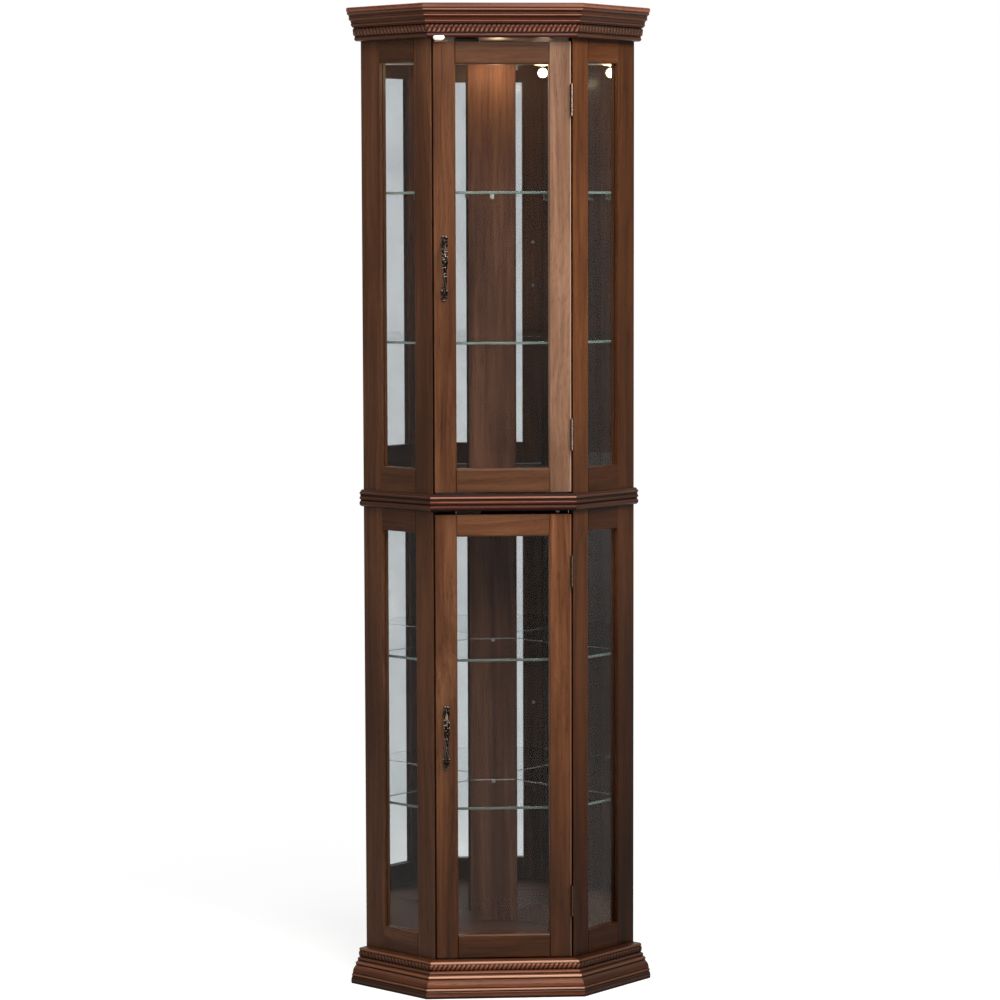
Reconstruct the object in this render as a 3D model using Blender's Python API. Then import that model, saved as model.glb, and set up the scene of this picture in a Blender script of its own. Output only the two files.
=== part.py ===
"""Tall lighted corner display cabinet: flat front, two glazed sides, mirrored back.

Metres, +Z up, the front faces -Y. The plan is drawn with y = 0 on the front of the body and
+Y towards the room's corner. The whole cabinet hangs from one empty, which puts the origin
under the middle of its bounding box.
"""
import math

import bmesh
import bpy
from mathutils import Matrix, Vector

# Overall sizes
CABINET_HEIGHT = 1.800
FRONT_WIDTH = 0.257          # flat front, from corner to corner
SIDE_LENGTH = 0.1734         # each side, square to the wall it meets
BACK_STRIP_WIDTH = 0.074     # cut-off rear corner, measured outside
CLEARANCE = 0.0003           # gap between pieces that touch

# Carcass boards
FRAME_THICKNESS = 0.018
TOP_PANEL_THICKNESS = 0.018
TOP_BOARD_THICKNESS = 0.009
BOTTOM_PANEL_THICKNESS = 0.018
BACK_PANEL_THICKNESS = 0.005
MIRROR_THICKNESS = 0.003
BACK_POST_THICKNESS = 0.015

# Side frames
FRONT_STILE_WIDTH = 0.0415
REAR_STILE_WIDTH = 0.047
FRONT_STILE_NIB = 0.0016     # front edge of the stile that shows beside the door
SIDE_RAIL_ABOVE = 0.0445     # rail that shows above the base and the waist
SIDE_RAIL_BELOW = 0.0415     # rail that shows below the waist and the crown

# Mouldings
CROWN_HEIGHT = 0.060
CROWN_OVERHANG = 0.0367
WAIST_TOP = 0.9205
WAIST_HEIGHT = 0.031
WAIST_OVERHANG = 0.010
BASE_HEIGHT = 0.0635
BASE_OVERHANG = 0.040
ROPE_SEAT = 0.0165           # overhang of the flat that carries the rope twist
ROPE_PROUD = 0.0045
ROPE_HEIGHT = 0.0135
ROPE_PITCH = 0.0085

# Glass and its grooves
GLASS_THICKNESS = 0.003
GROOVE_WIDTH = GLASS_THICKNESS + 2 * CLEARANCE
GROOVE_DEPTH = 0.006

# Doors
DOOR_THICKNESS = 0.020
DOOR_SIDE_GAP = 0.003
DOOR_BOTTOM_GAP = 0.003
DOOR_TOP_GAP = 0.0068
DOOR_STILE_WIDTH = 0.040
DOOR_TOP_RAIL = 0.040
DOOR_BOTTOM_RAIL = 0.0425
DOOR_CHAMFER = 0.0025

# Hinges
HINGE_LENGTH = 0.058
HINGE_FROM_END = 0.104       # hinge centre from the end of its door
HINGE_LEAF_THICKNESS = 0.001
HINGE_LEAF_WIDTH = 0.016
HINGE_BARREL_RADIUS = 0.0032
HINGE_PIN_RADIUS = 0.0014
HINGE_KNUCKLES = 5

# Handles
HANDLE_LENGTH = 0.120
HANDLE_WIDTH = 0.015
HANDLE_STANDOFF = 0.024
HANDLE_INSET = 0.019         # handle centre from the free edge of the door
HANDLE_BAR_RADIUS = 0.0030
HANDLE_FOOT_LENGTH = 0.034
HANDLE_FOOT_THICKNESS = 0.0030

# Shelves
SHELF_THICKNESS = 0.005
SHELVES_PER_BAY = 2
UPPER_SHELF_PITCH = 0.272
LOWER_SHELF_PITCH = 0.2745
SHELF_FRONT = 0.031          # front edge, behind the front of the body
SHELF_SIDE_GAP = 0.0015
PIN_RADIUS = 0.0025
PIN_LENGTH = 0.009
PIN_FROM_EDGE = 0.017        # pin centre from the stile's outer edge

# Lamp, touch switch and catches
LAMP_LENGTH = 0.170
LAMP_WIDTH = 0.040
LAMP_DEPTH = 0.0285
LAMP_FRONT = 0.112           # front end, behind the front of the body
LAMP_LENS_RADIUS = 0.0155
LAMP_LENS_RECESS = 0.003
SWITCH_RADIUS = 0.0105
SWITCH_DROP = 0.0048         # how far it hangs below the crown
SWITCH_RECESS = 0.0115       # how deep it sits in the crown
SWITCH_FROM_CORNER = 0.0150
CATCH_LENGTH = 0.044
CATCH_HEIGHT = 0.013
CATCH_DEPTH = 0.016
CATCH_FROM_EDGE = 0.062
CATCH_DOOR_GAP = 0.0015

# Worked out from the sizes above
HALF_FRONT = FRONT_WIDTH / 2
ROOT2 = math.sqrt(2.0)
SIDE_RUN = SIDE_LENGTH / ROOT2
WALL_SUM = HALF_FRONT + 2 * SIDE_RUN         # x + y along the wall on the right
BACK_Y = WALL_SUM - BACK_STRIP_WIDTH / 2
CENTRE_Y = (BACK_Y - BASE_OVERHANG) / 2
MITRE_SLOPE = math.tan(math.radians(22.5))   # the front meets each side at 135 degrees
MITRE_BACK = 0.6 * CLEARANCE
CROWN_BOTTOM = CABINET_HEIGHT - CROWN_HEIGHT
WAIST_BOTTOM = WAIST_TOP - WAIST_HEIGHT
FRAME_TOP = CABINET_HEIGHT - TOP_BOARD_THICKNESS - CLEARANCE
POST_FACE_Y = BACK_Y - BACK_POST_THICKNESS
BACK_FACE = BACK_PANEL_THICKNESS + CLEARANCE             # depths in from the wall line
MIRROR_FACE = BACK_FACE + MIRROR_THICKNESS
GROOVE_LOW = (FRAME_THICKNESS - GROOVE_WIDTH) / 2
DOOR_GROOVE_LOW = (DOOR_THICKNESS - GROOVE_WIDTH) / 2
GRIP = GROOVE_DEPTH - CLEARANCE                          # what glass and tenons fill
DOOR_EDGE = HALF_FRONT - FRONT_STILE_NIB - DOOR_SIDE_GAP
HINGE_X = HALF_FRONT - FRONT_STILE_NIB - DOOR_SIDE_GAP / 2
HINGE_Y = -(HINGE_BARREL_RADIUS + 0.0002)
SIDE_MATRIX = Matrix.Translation((HALF_FRONT, 0, 0)) @ Matrix.Rotation(math.radians(45), 4, "Z")

WALNUT = (0.155, 0.064, 0.034)
COLOURS = {
    "frame": (WALNUT, 0.38, 0.0),
    "door": ((0.175, 0.075, 0.040), 0.36, 0.0),
    "moulding": ((0.120, 0.035, 0.018), 0.30, 0.0),
    "board": ((0.110, 0.045, 0.026), 0.45, 0.0),
    "back": ((0.090, 0.040, 0.025), 0.60, 0.0),
    "glass": ((0.80, 0.88, 0.86), 0.03, 0.0),
    "mirror": ((0.86, 0.88, 0.89), 0.02, 1.0),
    "bronze": ((0.060, 0.042, 0.030), 0.38, 0.9),
    "brass": ((0.33, 0.22, 0.11), 0.35, 1.0),
    "lamp": ((0.62, 0.60, 0.56), 0.35, 0.6),
    "plastic": ((0.80, 0.78, 0.74), 0.30, 0.0),
}


def finish_for(name, kind):
    """A part's own material, named after the part."""
    colour, roughness, metallic = COLOURS[kind]
    finish = bpy.data.materials.new(f"{name}_finish")
    finish.use_nodes = True
    shader = finish.node_tree.nodes["Principled BSDF"]
    shader.inputs["Base Color"].default_value = (*colour, 1.0)
    shader.inputs["Roughness"].default_value = roughness
    shader.inputs["Metallic"].default_value = metallic
    if kind == "glass":
        shader.inputs["Transmission Weight"].default_value = 0.9
        shader.inputs["IOR"].default_value = 1.5
    finish.diffuse_color = (*colour, 1.0)
    return finish


def mesh_from(shape):
    """Close a bmesh into a mesh whose faces point out."""
    bmesh.ops.recalc_face_normals(shape, faces=shape.faces)
    mesh = bpy.data.meshes.new("solid")
    shape.to_mesh(mesh)
    shape.free()
    return mesh


def evaluated_mesh(holder):
    """The mesh that an object's curve or modifiers give, without the object."""
    bpy.context.view_layer.update()
    graph = bpy.context.evaluated_depsgraph_get()
    mesh = bpy.data.meshes.new_from_object(holder.evaluated_get(graph))
    bpy.data.objects.remove(holder)
    return mesh


def holder_for(data):
    holder = bpy.data.objects.new("holder", data)
    bpy.context.scene.collection.objects.link(holder)
    return holder


def combined(base, tool, operation):
    """One mesh joined to another, or cut by it."""
    target = holder_for(base)
    cutter = holder_for(tool)
    modifier = target.modifiers.new(operation.lower(), "BOOLEAN")
    modifier.operation = operation
    modifier.object = cutter
    mesh = evaluated_mesh(target)
    bpy.data.objects.remove(cutter)
    return mesh


def curve_solid(curve):
    """A closed mesh from a filled curve, with its caps welded on."""
    mesh = evaluated_mesh(holder_for(curve))
    shape = bmesh.new()
    shape.from_mesh(mesh)
    bmesh.ops.remove_doubles(shape, verts=shape.verts, dist=0.00001)
    bpy.data.meshes.remove(mesh)
    return mesh_from(shape)


def prism(outline, low, high):
    """A flat outline in x and y, standing from z = low to z = high."""
    curve = bpy.data.curves.new("outline", "CURVE")
    curve.dimensions = "2D"
    curve.fill_mode = "BOTH"
    curve.extrude = (high - low) / 2
    spline = curve.splines.new("POLY")
    spline.points.add(len(outline) - 1)
    for point, (x, y) in zip(spline.points, outline):
        point.co = (x, y, 0.0, 1.0)
    spline.use_cyclic_u = True
    mesh = curve_solid(curve)
    mesh.transform(Matrix.Translation((0, 0, (low + high) / 2)))
    return mesh


def bar_along_x(outline, start, end):
    """An outline in y and z, running from x = start to x = end."""
    mesh = prism(outline, start, end)
    mesh.transform(Matrix(((0, 0, 1, 0), (1, 0, 0, 0), (0, 1, 0, 0), (0, 0, 0, 1))))
    return mesh


def box(low, high):
    shape = bmesh.new()
    bmesh.ops.create_cube(shape, size=1.0)
    low, high = Vector(low), Vector(high)
    matrix = Matrix.Translation((low + high) / 2) @ Matrix.Diagonal((*(high - low), 1.0))
    bmesh.ops.transform(shape, matrix=matrix, verts=shape.verts)
    return mesh_from(shape)


def rod(start, end, radius, sides=12):
    shape = bmesh.new()
    start, end = Vector(start), Vector(end)
    along = end - start
    matrix = Matrix.Translation((start + end) / 2) @ along.to_track_quat("Z", "Y").to_matrix().to_4x4()
    bmesh.ops.create_cone(shape, cap_ends=True, segments=sides, radius1=radius, radius2=radius,
                          depth=along.length, matrix=matrix)
    return mesh_from(shape)


def ball(centre, radii, across=12, up=8):
    shape = bmesh.new()
    bmesh.ops.create_uvsphere(shape, u_segments=across, v_segments=up, radius=1.0)
    matrix = Matrix.Translation(centre) @ Matrix.Diagonal((*radii, 1.0))
    bmesh.ops.transform(shape, matrix=matrix, verts=shape.verts)
    return mesh_from(shape)


def arc(centre, radius, start, end, steps):
    """Points of an arc, angles in degrees, both ends included."""
    points = []
    for step in range(steps + 1):
        angle = math.radians(start + (end - start) * step / steps)
        points.append((centre[0] + radius * math.cos(angle), centre[1] + radius * math.sin(angle)))
    return points


def bulged(start, end, bulge, steps=4):
    """A shallow curve from one point to another: left of its way where the bulge is positive."""
    run = Vector(end) - Vector(start)
    left = Vector((-run.y, run.x)).normalized()
    points = []
    for step in range(steps + 1):
        share = step / steps
        point = Vector(start) + run * share + left * bulge * math.sin(math.pi * share)
        points.append(tuple(point))
    return points


def mirrored(mesh):
    """The left twin of a piece from the right."""
    twin = mesh.copy()
    twin.transform(Matrix.Scale(-1, 4, (1, 0, 0)))
    twin.flip_normals()
    return twin


def add_part(name, mesh, kind, parent, smooth=None):
    """Name a piece and hang it on its parent empty, with its origin there."""
    place = parent.matrix_world.translation - parents["cabinet"].matrix_world.translation
    mesh.transform(Matrix.Translation(-place))
    mesh.name = name
    if smooth:
        mesh.shade_smooth()
        mesh.set_sharp_from_angle(angle=math.radians(smooth))
    part = bpy.data.objects.new(name, mesh)
    part.parent = parent
    part.data.materials.clear()
    part.data.materials.append(finish_for(name, kind))
    collection.objects.link(part)
    return part


def add_pair(name, mesh, kind):
    """A piece of the right side and its twin on the left."""
    add_part(f"left_{name}", mirrored(mesh), kind, parents["cabinet"])
    add_part(f"right_{name}", mesh, kind, parents["cabinet"])


def inside_plan(front, side_gap, wall_depth, post_gap=CLEARANCE):
    """Outline of a board or shelf that fits between the side frames and the back.

    The front edge lies at y = front. A board that comes forward of the stiles' inner corners
    is notched round them.
    """
    side_line = HALF_FRONT - (FRAME_THICKNESS + side_gap) * ROOT2    # x - y on the right
    back_line = WALL_SUM - wall_depth * ROOT2                        # x + y on the right
    post_line = POST_FACE_Y - post_gap
    beside_door = HALF_FRONT - FRONT_STILE_NIB - side_gap
    half = []
    if beside_door - side_line > front:
        half += [(beside_door, front), (beside_door, beside_door - side_line)]
    else:
        half += [(side_line + front, front)]
    half += [((side_line + back_line) / 2, (back_line - side_line) / 2),
             (back_line - post_line, post_line)]
    return [*half, *((-x, y) for x, y in reversed(half))]


def outer_plan(overhang):
    """Outline of a board that overhangs the front and the sides and is cut on the wall lines."""
    side = SIDE_RUN - overhang / ROOT2
    half = [(HALF_FRONT + overhang * MITRE_SLOPE, -overhang),
            (WALL_SUM - side, side),
            (BACK_STRIP_WIDTH / 2, BACK_Y)]
    return [*half, *((-x, y) for x, y in reversed(half))]


def make_carcass():
    cabinet = parents["cabinet"]
    board = prism(outer_plan(CROWN_OVERHANG), CABINET_HEIGHT - TOP_BOARD_THICKNESS, CABINET_HEIGHT)
    add_part("top_board", board, "moulding", cabinet)
    closed = inside_plan(CLEARANCE, CLEARANCE, BACK_FACE)
    mirror_wall = inside_plan(CLEARANCE, CLEARANCE, MIRROR_FACE + CLEARANCE)
    add_part("top_panel", prism(closed, CROWN_BOTTOM, CROWN_BOTTOM + TOP_PANEL_THICKNESS),
             "board", cabinet)
    add_part("middle_panel", prism(mirror_wall, WAIST_BOTTOM, WAIST_TOP), "board", cabinet)
    add_part("bottom_panel", prism(closed, BASE_HEIGHT - BOTTOM_PANEL_THICKNESS, BASE_HEIGHT),
             "board", cabinet)


def shelf_heights():
    """The middle of each shelf's thickness, from the top one down."""
    heights = []
    for number in range(SHELVES_PER_BAY, 0, -1):
        heights.append((f"upper_shelf_{number}", WAIST_TOP + number * UPPER_SHELF_PITCH))
    for number in range(SHELVES_PER_BAY, 0, -1):
        heights.append((f"lower_shelf_{number}", BASE_HEIGHT + number * LOWER_SHELF_PITCH))
    return heights


def with_pins(mesh, seat, inward):
    """A post or stile with one support pin under each shelf."""
    for _, height in shelf_heights():
        level = height - SHELF_THICKNESS / 2 - CLEARANCE - PIN_RADIUS
        start = Vector((*seat, level)) - Vector((*inward, 0)) * PIN_LENGTH / 2
        end = Vector((*seat, level)) + Vector((*inward, 0)) * PIN_LENGTH
        mesh = combined(mesh, rod(start, end, PIN_RADIUS), "UNION")
    return mesh


def make_side_stiles():
    """Both stiles of a side frame, grooved along the edge that holds the glass."""
    groove_high = GROOVE_LOW + GROOVE_WIDTH
    front_edge = FRONT_STILE_WIDTH
    front = [(0, 0), (front_edge, 0), (front_edge, GROOVE_LOW),
             (front_edge - GROOVE_DEPTH, GROOVE_LOW), (front_edge - GROOVE_DEPTH, groove_high),
             (front_edge, groove_high), (front_edge, FRAME_THICKNESS),
             (FRAME_THICKNESS - FRONT_STILE_NIB * ROOT2, FRAME_THICKNESS),
             (-FRONT_STILE_NIB / ROOT2, FRONT_STILE_NIB / ROOT2)]
    rear_edge = SIDE_LENGTH - REAR_STILE_WIDTH
    rear = [(rear_edge, 0), (SIDE_LENGTH, 0), (SIDE_LENGTH, FRAME_THICKNESS),
            (rear_edge, FRAME_THICKNESS), (rear_edge, groove_high),
            (rear_edge + GROOVE_DEPTH, groove_high), (rear_edge + GROOVE_DEPTH, GROOVE_LOW),
            (rear_edge, GROOVE_LOW)]
    for name, outline, seat in (
            ("front_stile", front, FRONT_STILE_WIDTH - PIN_FROM_EDGE),
            ("rear_stile", rear, rear_edge + PIN_FROM_EDGE)):
        mesh = with_pins(prism(outline, 0, FRAME_TOP), (seat, FRAME_THICKNESS), (0, 1))
        mesh.transform(SIDE_MATRIX)
        add_pair(name, mesh, "frame")


def rail(start, end, thickness, low, high, groove_below, groove_above, chamfer=0.0):
    """A rail along x, front at y = 0, with glass grooves and a stub tenon on each end."""
    near = (thickness - GROOVE_WIDTH) / 2
    far = near + GROOVE_WIDTH
    lower_chamfer = chamfer if groove_below else 0.0
    upper_chamfer = chamfer if groove_above else 0.0
    outline = [(0, low + lower_chamfer)]
    if lower_chamfer:
        outline.append((lower_chamfer, low))
    if groove_below:
        outline += [(near, low), (near, low + GROOVE_DEPTH), (far, low + GROOVE_DEPTH), (far, low)]
    outline += [(thickness, low), (thickness, high)]
    if groove_above:
        outline += [(far, high), (far, high - GROOVE_DEPTH), (near, high - GROOVE_DEPTH), (near, high)]
    if upper_chamfer:
        outline.append((upper_chamfer, high))
    outline.append((0, high - upper_chamfer))
    body = bar_along_x(outline, start, end)
    tenon_low = low + (GROOVE_DEPTH if groove_below else 0.0) + CLEARANCE
    tenon_high = high - (GROOVE_DEPTH if groove_above else 0.0) - CLEARANCE
    tenon = box((start - GRIP, near + CLEARANCE, tenon_low), (end + GRIP, far - CLEARANCE, tenon_high))
    return combined(body, tenon, "UNION")


def side_openings():
    """Bottom and top of the lower and the upper glass opening of a side frame."""
    return ((BASE_HEIGHT + SIDE_RAIL_ABOVE, WAIST_BOTTOM - SIDE_RAIL_BELOW),
            (WAIST_TOP + SIDE_RAIL_ABOVE, CROWN_BOTTOM - SIDE_RAIL_BELOW))


def make_side_rails_and_glass():
    (lower_low, lower_high), (upper_low, upper_high) = side_openings()
    start = FRONT_STILE_WIDTH + CLEARANCE
    end = SIDE_LENGTH - REAR_STILE_WIDTH - CLEARANCE
    for name, low, high, groove_below, groove_above in (
            ("bottom_rail", 0, lower_low, False, True),
            ("middle_rail", lower_high, upper_low, True, True),
            ("top_rail", upper_high, FRAME_TOP, True, False)):
        mesh = rail(start, end, FRAME_THICKNESS, low, high, groove_below, groove_above)
        mesh.transform(SIDE_MATRIX)
        add_pair(name, mesh, "frame")
    for name, low, high in (("lower_glass", lower_low, lower_high),
                            ("upper_glass", upper_low, upper_high)):
        near = GROOVE_LOW + CLEARANCE
        mesh = box((FRONT_STILE_WIDTH - GRIP, near, low - GRIP),
                   (SIDE_LENGTH - REAR_STILE_WIDTH + GRIP, near + GLASS_THICKNESS, high + GRIP))
        mesh.transform(SIDE_MATRIX)
        add_pair(name, mesh, "glass")


def make_back():
    """Two wall panels, their mirrors, and the post that closes the cut-off corner."""
    first = FRAME_THICKNESS + CLEARANCE
    inner_sum = WALL_SUM - BACK_PANEL_THICKNESS * ROOT2
    stile_outer = SIDE_MATRIX @ Vector((SIDE_LENGTH, first, 0))
    stile_inner = SIDE_MATRIX @ Vector((SIDE_LENGTH - BACK_PANEL_THICKNESS, first, 0))
    panel = [tuple(stile_inner.xy), tuple(stile_outer.xy), (BACK_STRIP_WIDTH / 2, BACK_Y),
             (inner_sum - BACK_Y, BACK_Y)]
    add_pair("back_panel", prism(panel, 0, FRAME_TOP), "back")

    # The mirror stops where its rear edge would reach the face of the post
    post_corner = Vector((inner_sum - POST_FACE_Y, POST_FACE_Y, 0))
    mirror_end = (SIDE_MATRIX.inverted() @ post_corner).y - MIRROR_THICKNESS - 2 * CLEARANCE
    mirror = box((SIDE_LENGTH - MIRROR_FACE, first, BASE_HEIGHT + CLEARANCE),
                 (SIDE_LENGTH - BACK_FACE, mirror_end, CROWN_BOTTOM - CLEARANCE))
    mirror.transform(SIDE_MATRIX)
    add_pair("mirror", mirror, "mirror")

    post_sum = inner_sum - CLEARANCE * ROOT2
    half = [(post_sum - POST_FACE_Y, POST_FACE_Y), (post_sum - BACK_Y, BACK_Y)]
    post = prism([*half, *((-x, y) for x, y in reversed(half))], 0, FRAME_TOP)
    add_part("back_post", with_pins(post, (0, POST_FACE_Y), (0, -1)), "board", parents["cabinet"])


def crown_outline():
    """Crown moulding under the top board: overhang and height above its lower edge."""
    top = CROWN_HEIGHT - TOP_BOARD_THICKNESS - CLEARANCE
    rope_low = 0.0100
    rope_high = rope_low + ROPE_HEIGHT + 0.0005
    cove_start, cove_end = (ROPE_SEAT + 0.0045, rope_high + 0.0050), (CROWN_OVERHANG - 0.0040, top - 0.0065)
    outline = [(CLEARANCE, 0), (0.0045, 0)]
    outline += arc((0.0045, 0.0080), 0.0080, -80, -15, 4)
    outline += [(ROPE_SEAT, rope_low), (ROPE_SEAT, rope_high), (ROPE_SEAT + 0.0035, rope_high)]
    outline += arc((ROPE_SEAT + 0.0035, rope_high + 0.0018), 0.0018, -60, 60, 3)
    outline += [(ROPE_SEAT + 0.0035, rope_high + 0.0040)]
    outline += bulged(cove_start, cove_end, 0.0035, 6)
    outline += [(CROWN_OVERHANG - 0.0028, top - 0.0065), (CROWN_OVERHANG - 0.0028, top - 0.0025),
                (CROWN_OVERHANG - 0.0015, top - 0.0025), (CROWN_OVERHANG - 0.0015, top),
                (CLEARANCE, top)]
    return outline


def waist_outline():
    """Two round beads, the upper one prouder than the lower."""
    lower, upper = 0.0100, 0.0238
    outline = [(CLEARANCE, 0), (0.0035, 0), (0.0040, 0.0035)]
    outline += arc((WAIST_OVERHANG - 0.0060, lower), 0.0055, -75, 70, 6)
    outline += arc((WAIST_OVERHANG - 0.0070, upper), 0.0070, -60, 75, 6)
    outline += [(0.0030, WAIST_HEIGHT - 0.0004), (0.0030, WAIST_HEIGHT), (CLEARANCE, WAIST_HEIGHT)]
    return outline


def base_outline():
    """Base moulding: a foot, a reeded flare, the rope seat and a flat top ledge."""
    foot = 0.0105
    rope_low = 0.0435
    rope_high = rope_low + ROPE_HEIGHT
    flare_top = (ROPE_SEAT + 0.0060, rope_low - 0.0045)
    flare_foot = (BASE_OVERHANG - 0.0020, foot + 0.0010)
    reeds = 3
    outline = [(CLEARANCE, 0), (BASE_OVERHANG, 0)]
    outline += [(BASE_OVERHANG, foot - 0.0010), (BASE_OVERHANG - 0.0010, foot)]
    for reed in range(reeds):
        start = Vector(flare_foot).lerp(flare_top, reed / reeds)
        end = Vector(flare_foot).lerp(flare_top, (reed + 0.92) / reeds)
        outline += bulged(start, end, -0.0022, 4)
    outline += [(ROPE_SEAT + 0.0055, rope_low - 0.0030), (ROPE_SEAT + 0.0055, rope_low - 0.0005),
                (ROPE_SEAT, rope_low), (ROPE_SEAT, rope_high)]
    outline += arc((ROPE_SEAT, rope_high + 0.0030), 0.0027, -50, 80, 4)
    outline += [(ROPE_SEAT, BASE_HEIGHT), (CLEARANCE, BASE_HEIGHT)]
    return outline


def rope_strip(length, low):
    """Rope twist: slanted strands, each a ridge, on a back that sinks into its seat."""
    strands = int(length / ROPE_PITCH)
    rows = 4
    slant = 0.9 * ROPE_PITCH
    shape = bmesh.new()
    bmesh.ops.create_grid(shape, x_segments=2 * strands, y_segments=rows, size=0.5)
    start = (length - strands * ROPE_PITCH) / 2
    sunk = ROPE_SEAT - 0.001
    for vertex in shape.verts:
        column = round((vertex.co.x + 0.5) * 2 * strands)
        share = vertex.co.y + 0.5
        round_off = math.sin(math.pi * (0.08 + 0.84 * share))
        crest = ROPE_PROUD if column % 2 else 0.35 * ROPE_PROUD
        vertex.co = (start + column * ROPE_PITCH / 2 + slant * (share - 0.5),
                     ROPE_SEAT + crest * round_off, low + share * ROPE_HEIGHT)
    grown = bmesh.ops.extrude_face_region(shape, geom=shape.faces[:])
    for item in grown["geom"]:
        if isinstance(item, bmesh.types.BMVert):
            item.co.y = sunk
    return mesh_from(shape)


def moulding(outline, start, end, rope_low=None):
    """A moulding in run coordinates: along, overhang, height. The ends are functions."""
    mesh = bar_along_x(outline, 0, 1)
    for vertex in mesh.vertices:
        vertex.co.x = start(vertex.co.y) if vertex.co.x < 0.5 else end(vertex.co.y)
    if rope_low is not None:
        first, last = start(ROPE_SEAT), end(ROPE_SEAT)
        rope = rope_strip(last - first - ROPE_PITCH, rope_low)
        rope.transform(Matrix.Translation((first + ROPE_PITCH / 2, 0, 0)))
        mesh = combined(mesh, rope, "UNION")
    return mesh


def placed(mesh, corner, angle, height):
    """Stand a moulding on its run: overhang points out to the right of the way it runs."""
    run = Matrix.Translation((*corner, height)) @ Matrix.Rotation(math.radians(angle), 4, "Z")
    mesh.transform(run @ Matrix.Scale(-1, 4, (0, 1, 0)))
    mesh.flip_normals()
    return mesh


def make_mouldings():
    def mitre_start(overhang):
        return MITRE_BACK - overhang * MITRE_SLOPE

    def mitre_end(overhang):
        return FRONT_WIDTH - MITRE_BACK + overhang * MITRE_SLOPE

    def wall_end(overhang):
        return SIDE_LENGTH

    for name, outline, height, rope_low in (
            ("crown", crown_outline(), CROWN_BOTTOM, 0.0103),
            ("waist", waist_outline(), WAIST_BOTTOM, None),
            ("base", base_outline(), 0.0, 0.0435)):
        front = placed(moulding(outline, mitre_start, mitre_end, rope_low), (-HALF_FRONT, 0), 0, height)
        if name == "crown":
            x, y = switch_place()
            hole = rod((x, y, CROWN_BOTTOM - 0.01), (x, y, CROWN_BOTTOM + SWITCH_RECESS + CLEARANCE),
                       SWITCH_RADIUS + CLEARANCE, 24)
            front = combined(front, hole, "DIFFERENCE")
        side = placed(moulding(outline, mitre_start, wall_end, rope_low), (HALF_FRONT, 0), 45, height)
        add_part(f"{name}_front", front, "moulding", parents["cabinet"])
        add_part(f"{name}_left", mirrored(side), "moulding", parents["cabinet"])
        add_part(f"{name}_right", side, "moulding", parents["cabinet"])


def make_shelves():
    outline = inside_plan(SHELF_FRONT, SHELF_SIDE_GAP, MIRROR_FACE + SHELF_SIDE_GAP, SHELF_SIDE_GAP)
    for name, height in shelf_heights():
        low = height - SHELF_THICKNESS / 2
        add_part(name, prism(outline, low, low + SHELF_THICKNESS), "glass", parents["cabinet"])


def switch_place():
    return -HALF_FRONT + SWITCH_FROM_CORNER, -(SWITCH_RADIUS + 0.0008)


def make_fittings():
    """Touch switch under the crown, lamp on the ceiling, one magnetic catch for each door."""
    cabinet = parents["cabinet"]
    x, y = switch_place()
    dome_top = CROWN_BOTTOM + 0.0005
    stem = rod((x, y, dome_top), (x, y, CROWN_BOTTOM + SWITCH_RECESS), SWITCH_RADIUS, 24)
    dome = ball((x, y, dome_top), (SWITCH_RADIUS, SWITCH_RADIUS, SWITCH_DROP + 0.0005), 24, 10)
    add_part("touch_switch", combined(stem, dome, "UNION"), "plastic", cabinet, smooth=40)

    high = CROWN_BOTTOM - CLEARANCE
    low = high - LAMP_DEPTH
    middle = (LAMP_FRONT + LAMP_WIDTH / 2, LAMP_FRONT + LAMP_LENGTH - LAMP_WIDTH / 2)
    outline = arc((0, middle[0]), LAMP_WIDTH / 2, 180, 360, 10)
    outline += arc((0, middle[1]), LAMP_WIDTH / 2, 0, 180, 10)
    lamp = prism(outline, low, high)
    for centre in middle:
        lens = rod((0, centre, low - 0.01), (0, centre, low + LAMP_LENS_RECESS), LAMP_LENS_RADIUS, 24)
        lamp = combined(lamp, lens, "DIFFERENCE")
    add_part("lamp_bar", lamp, "lamp", cabinet, smooth=30)

    front = DOOR_THICKNESS + CATCH_DOOR_GAP
    left = -DOOR_EDGE + CATCH_FROM_EDGE - CATCH_LENGTH / 2
    for name, ceiling in (("upper_catch", CROWN_BOTTOM), ("lower_catch", WAIST_BOTTOM)):
        body = box((left, front, ceiling - CLEARANCE - CATCH_HEIGHT),
                   (left + CATCH_LENGTH, front + CATCH_DEPTH, ceiling - CLEARANCE))
        add_part(name, body, "plastic", cabinet)


def door_range(door):
    """Bottom and top of a door."""
    low, high = {"lower": (BASE_HEIGHT, WAIST_BOTTOM), "upper": (WAIST_TOP, CROWN_BOTTOM)}[door]
    return low + DOOR_BOTTOM_GAP, high - DOOR_TOP_GAP


def hinge_centres(door):
    low, high = door_range(door)
    return (("bottom", low + HINGE_FROM_END), ("top", high - HINGE_FROM_END))


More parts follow.
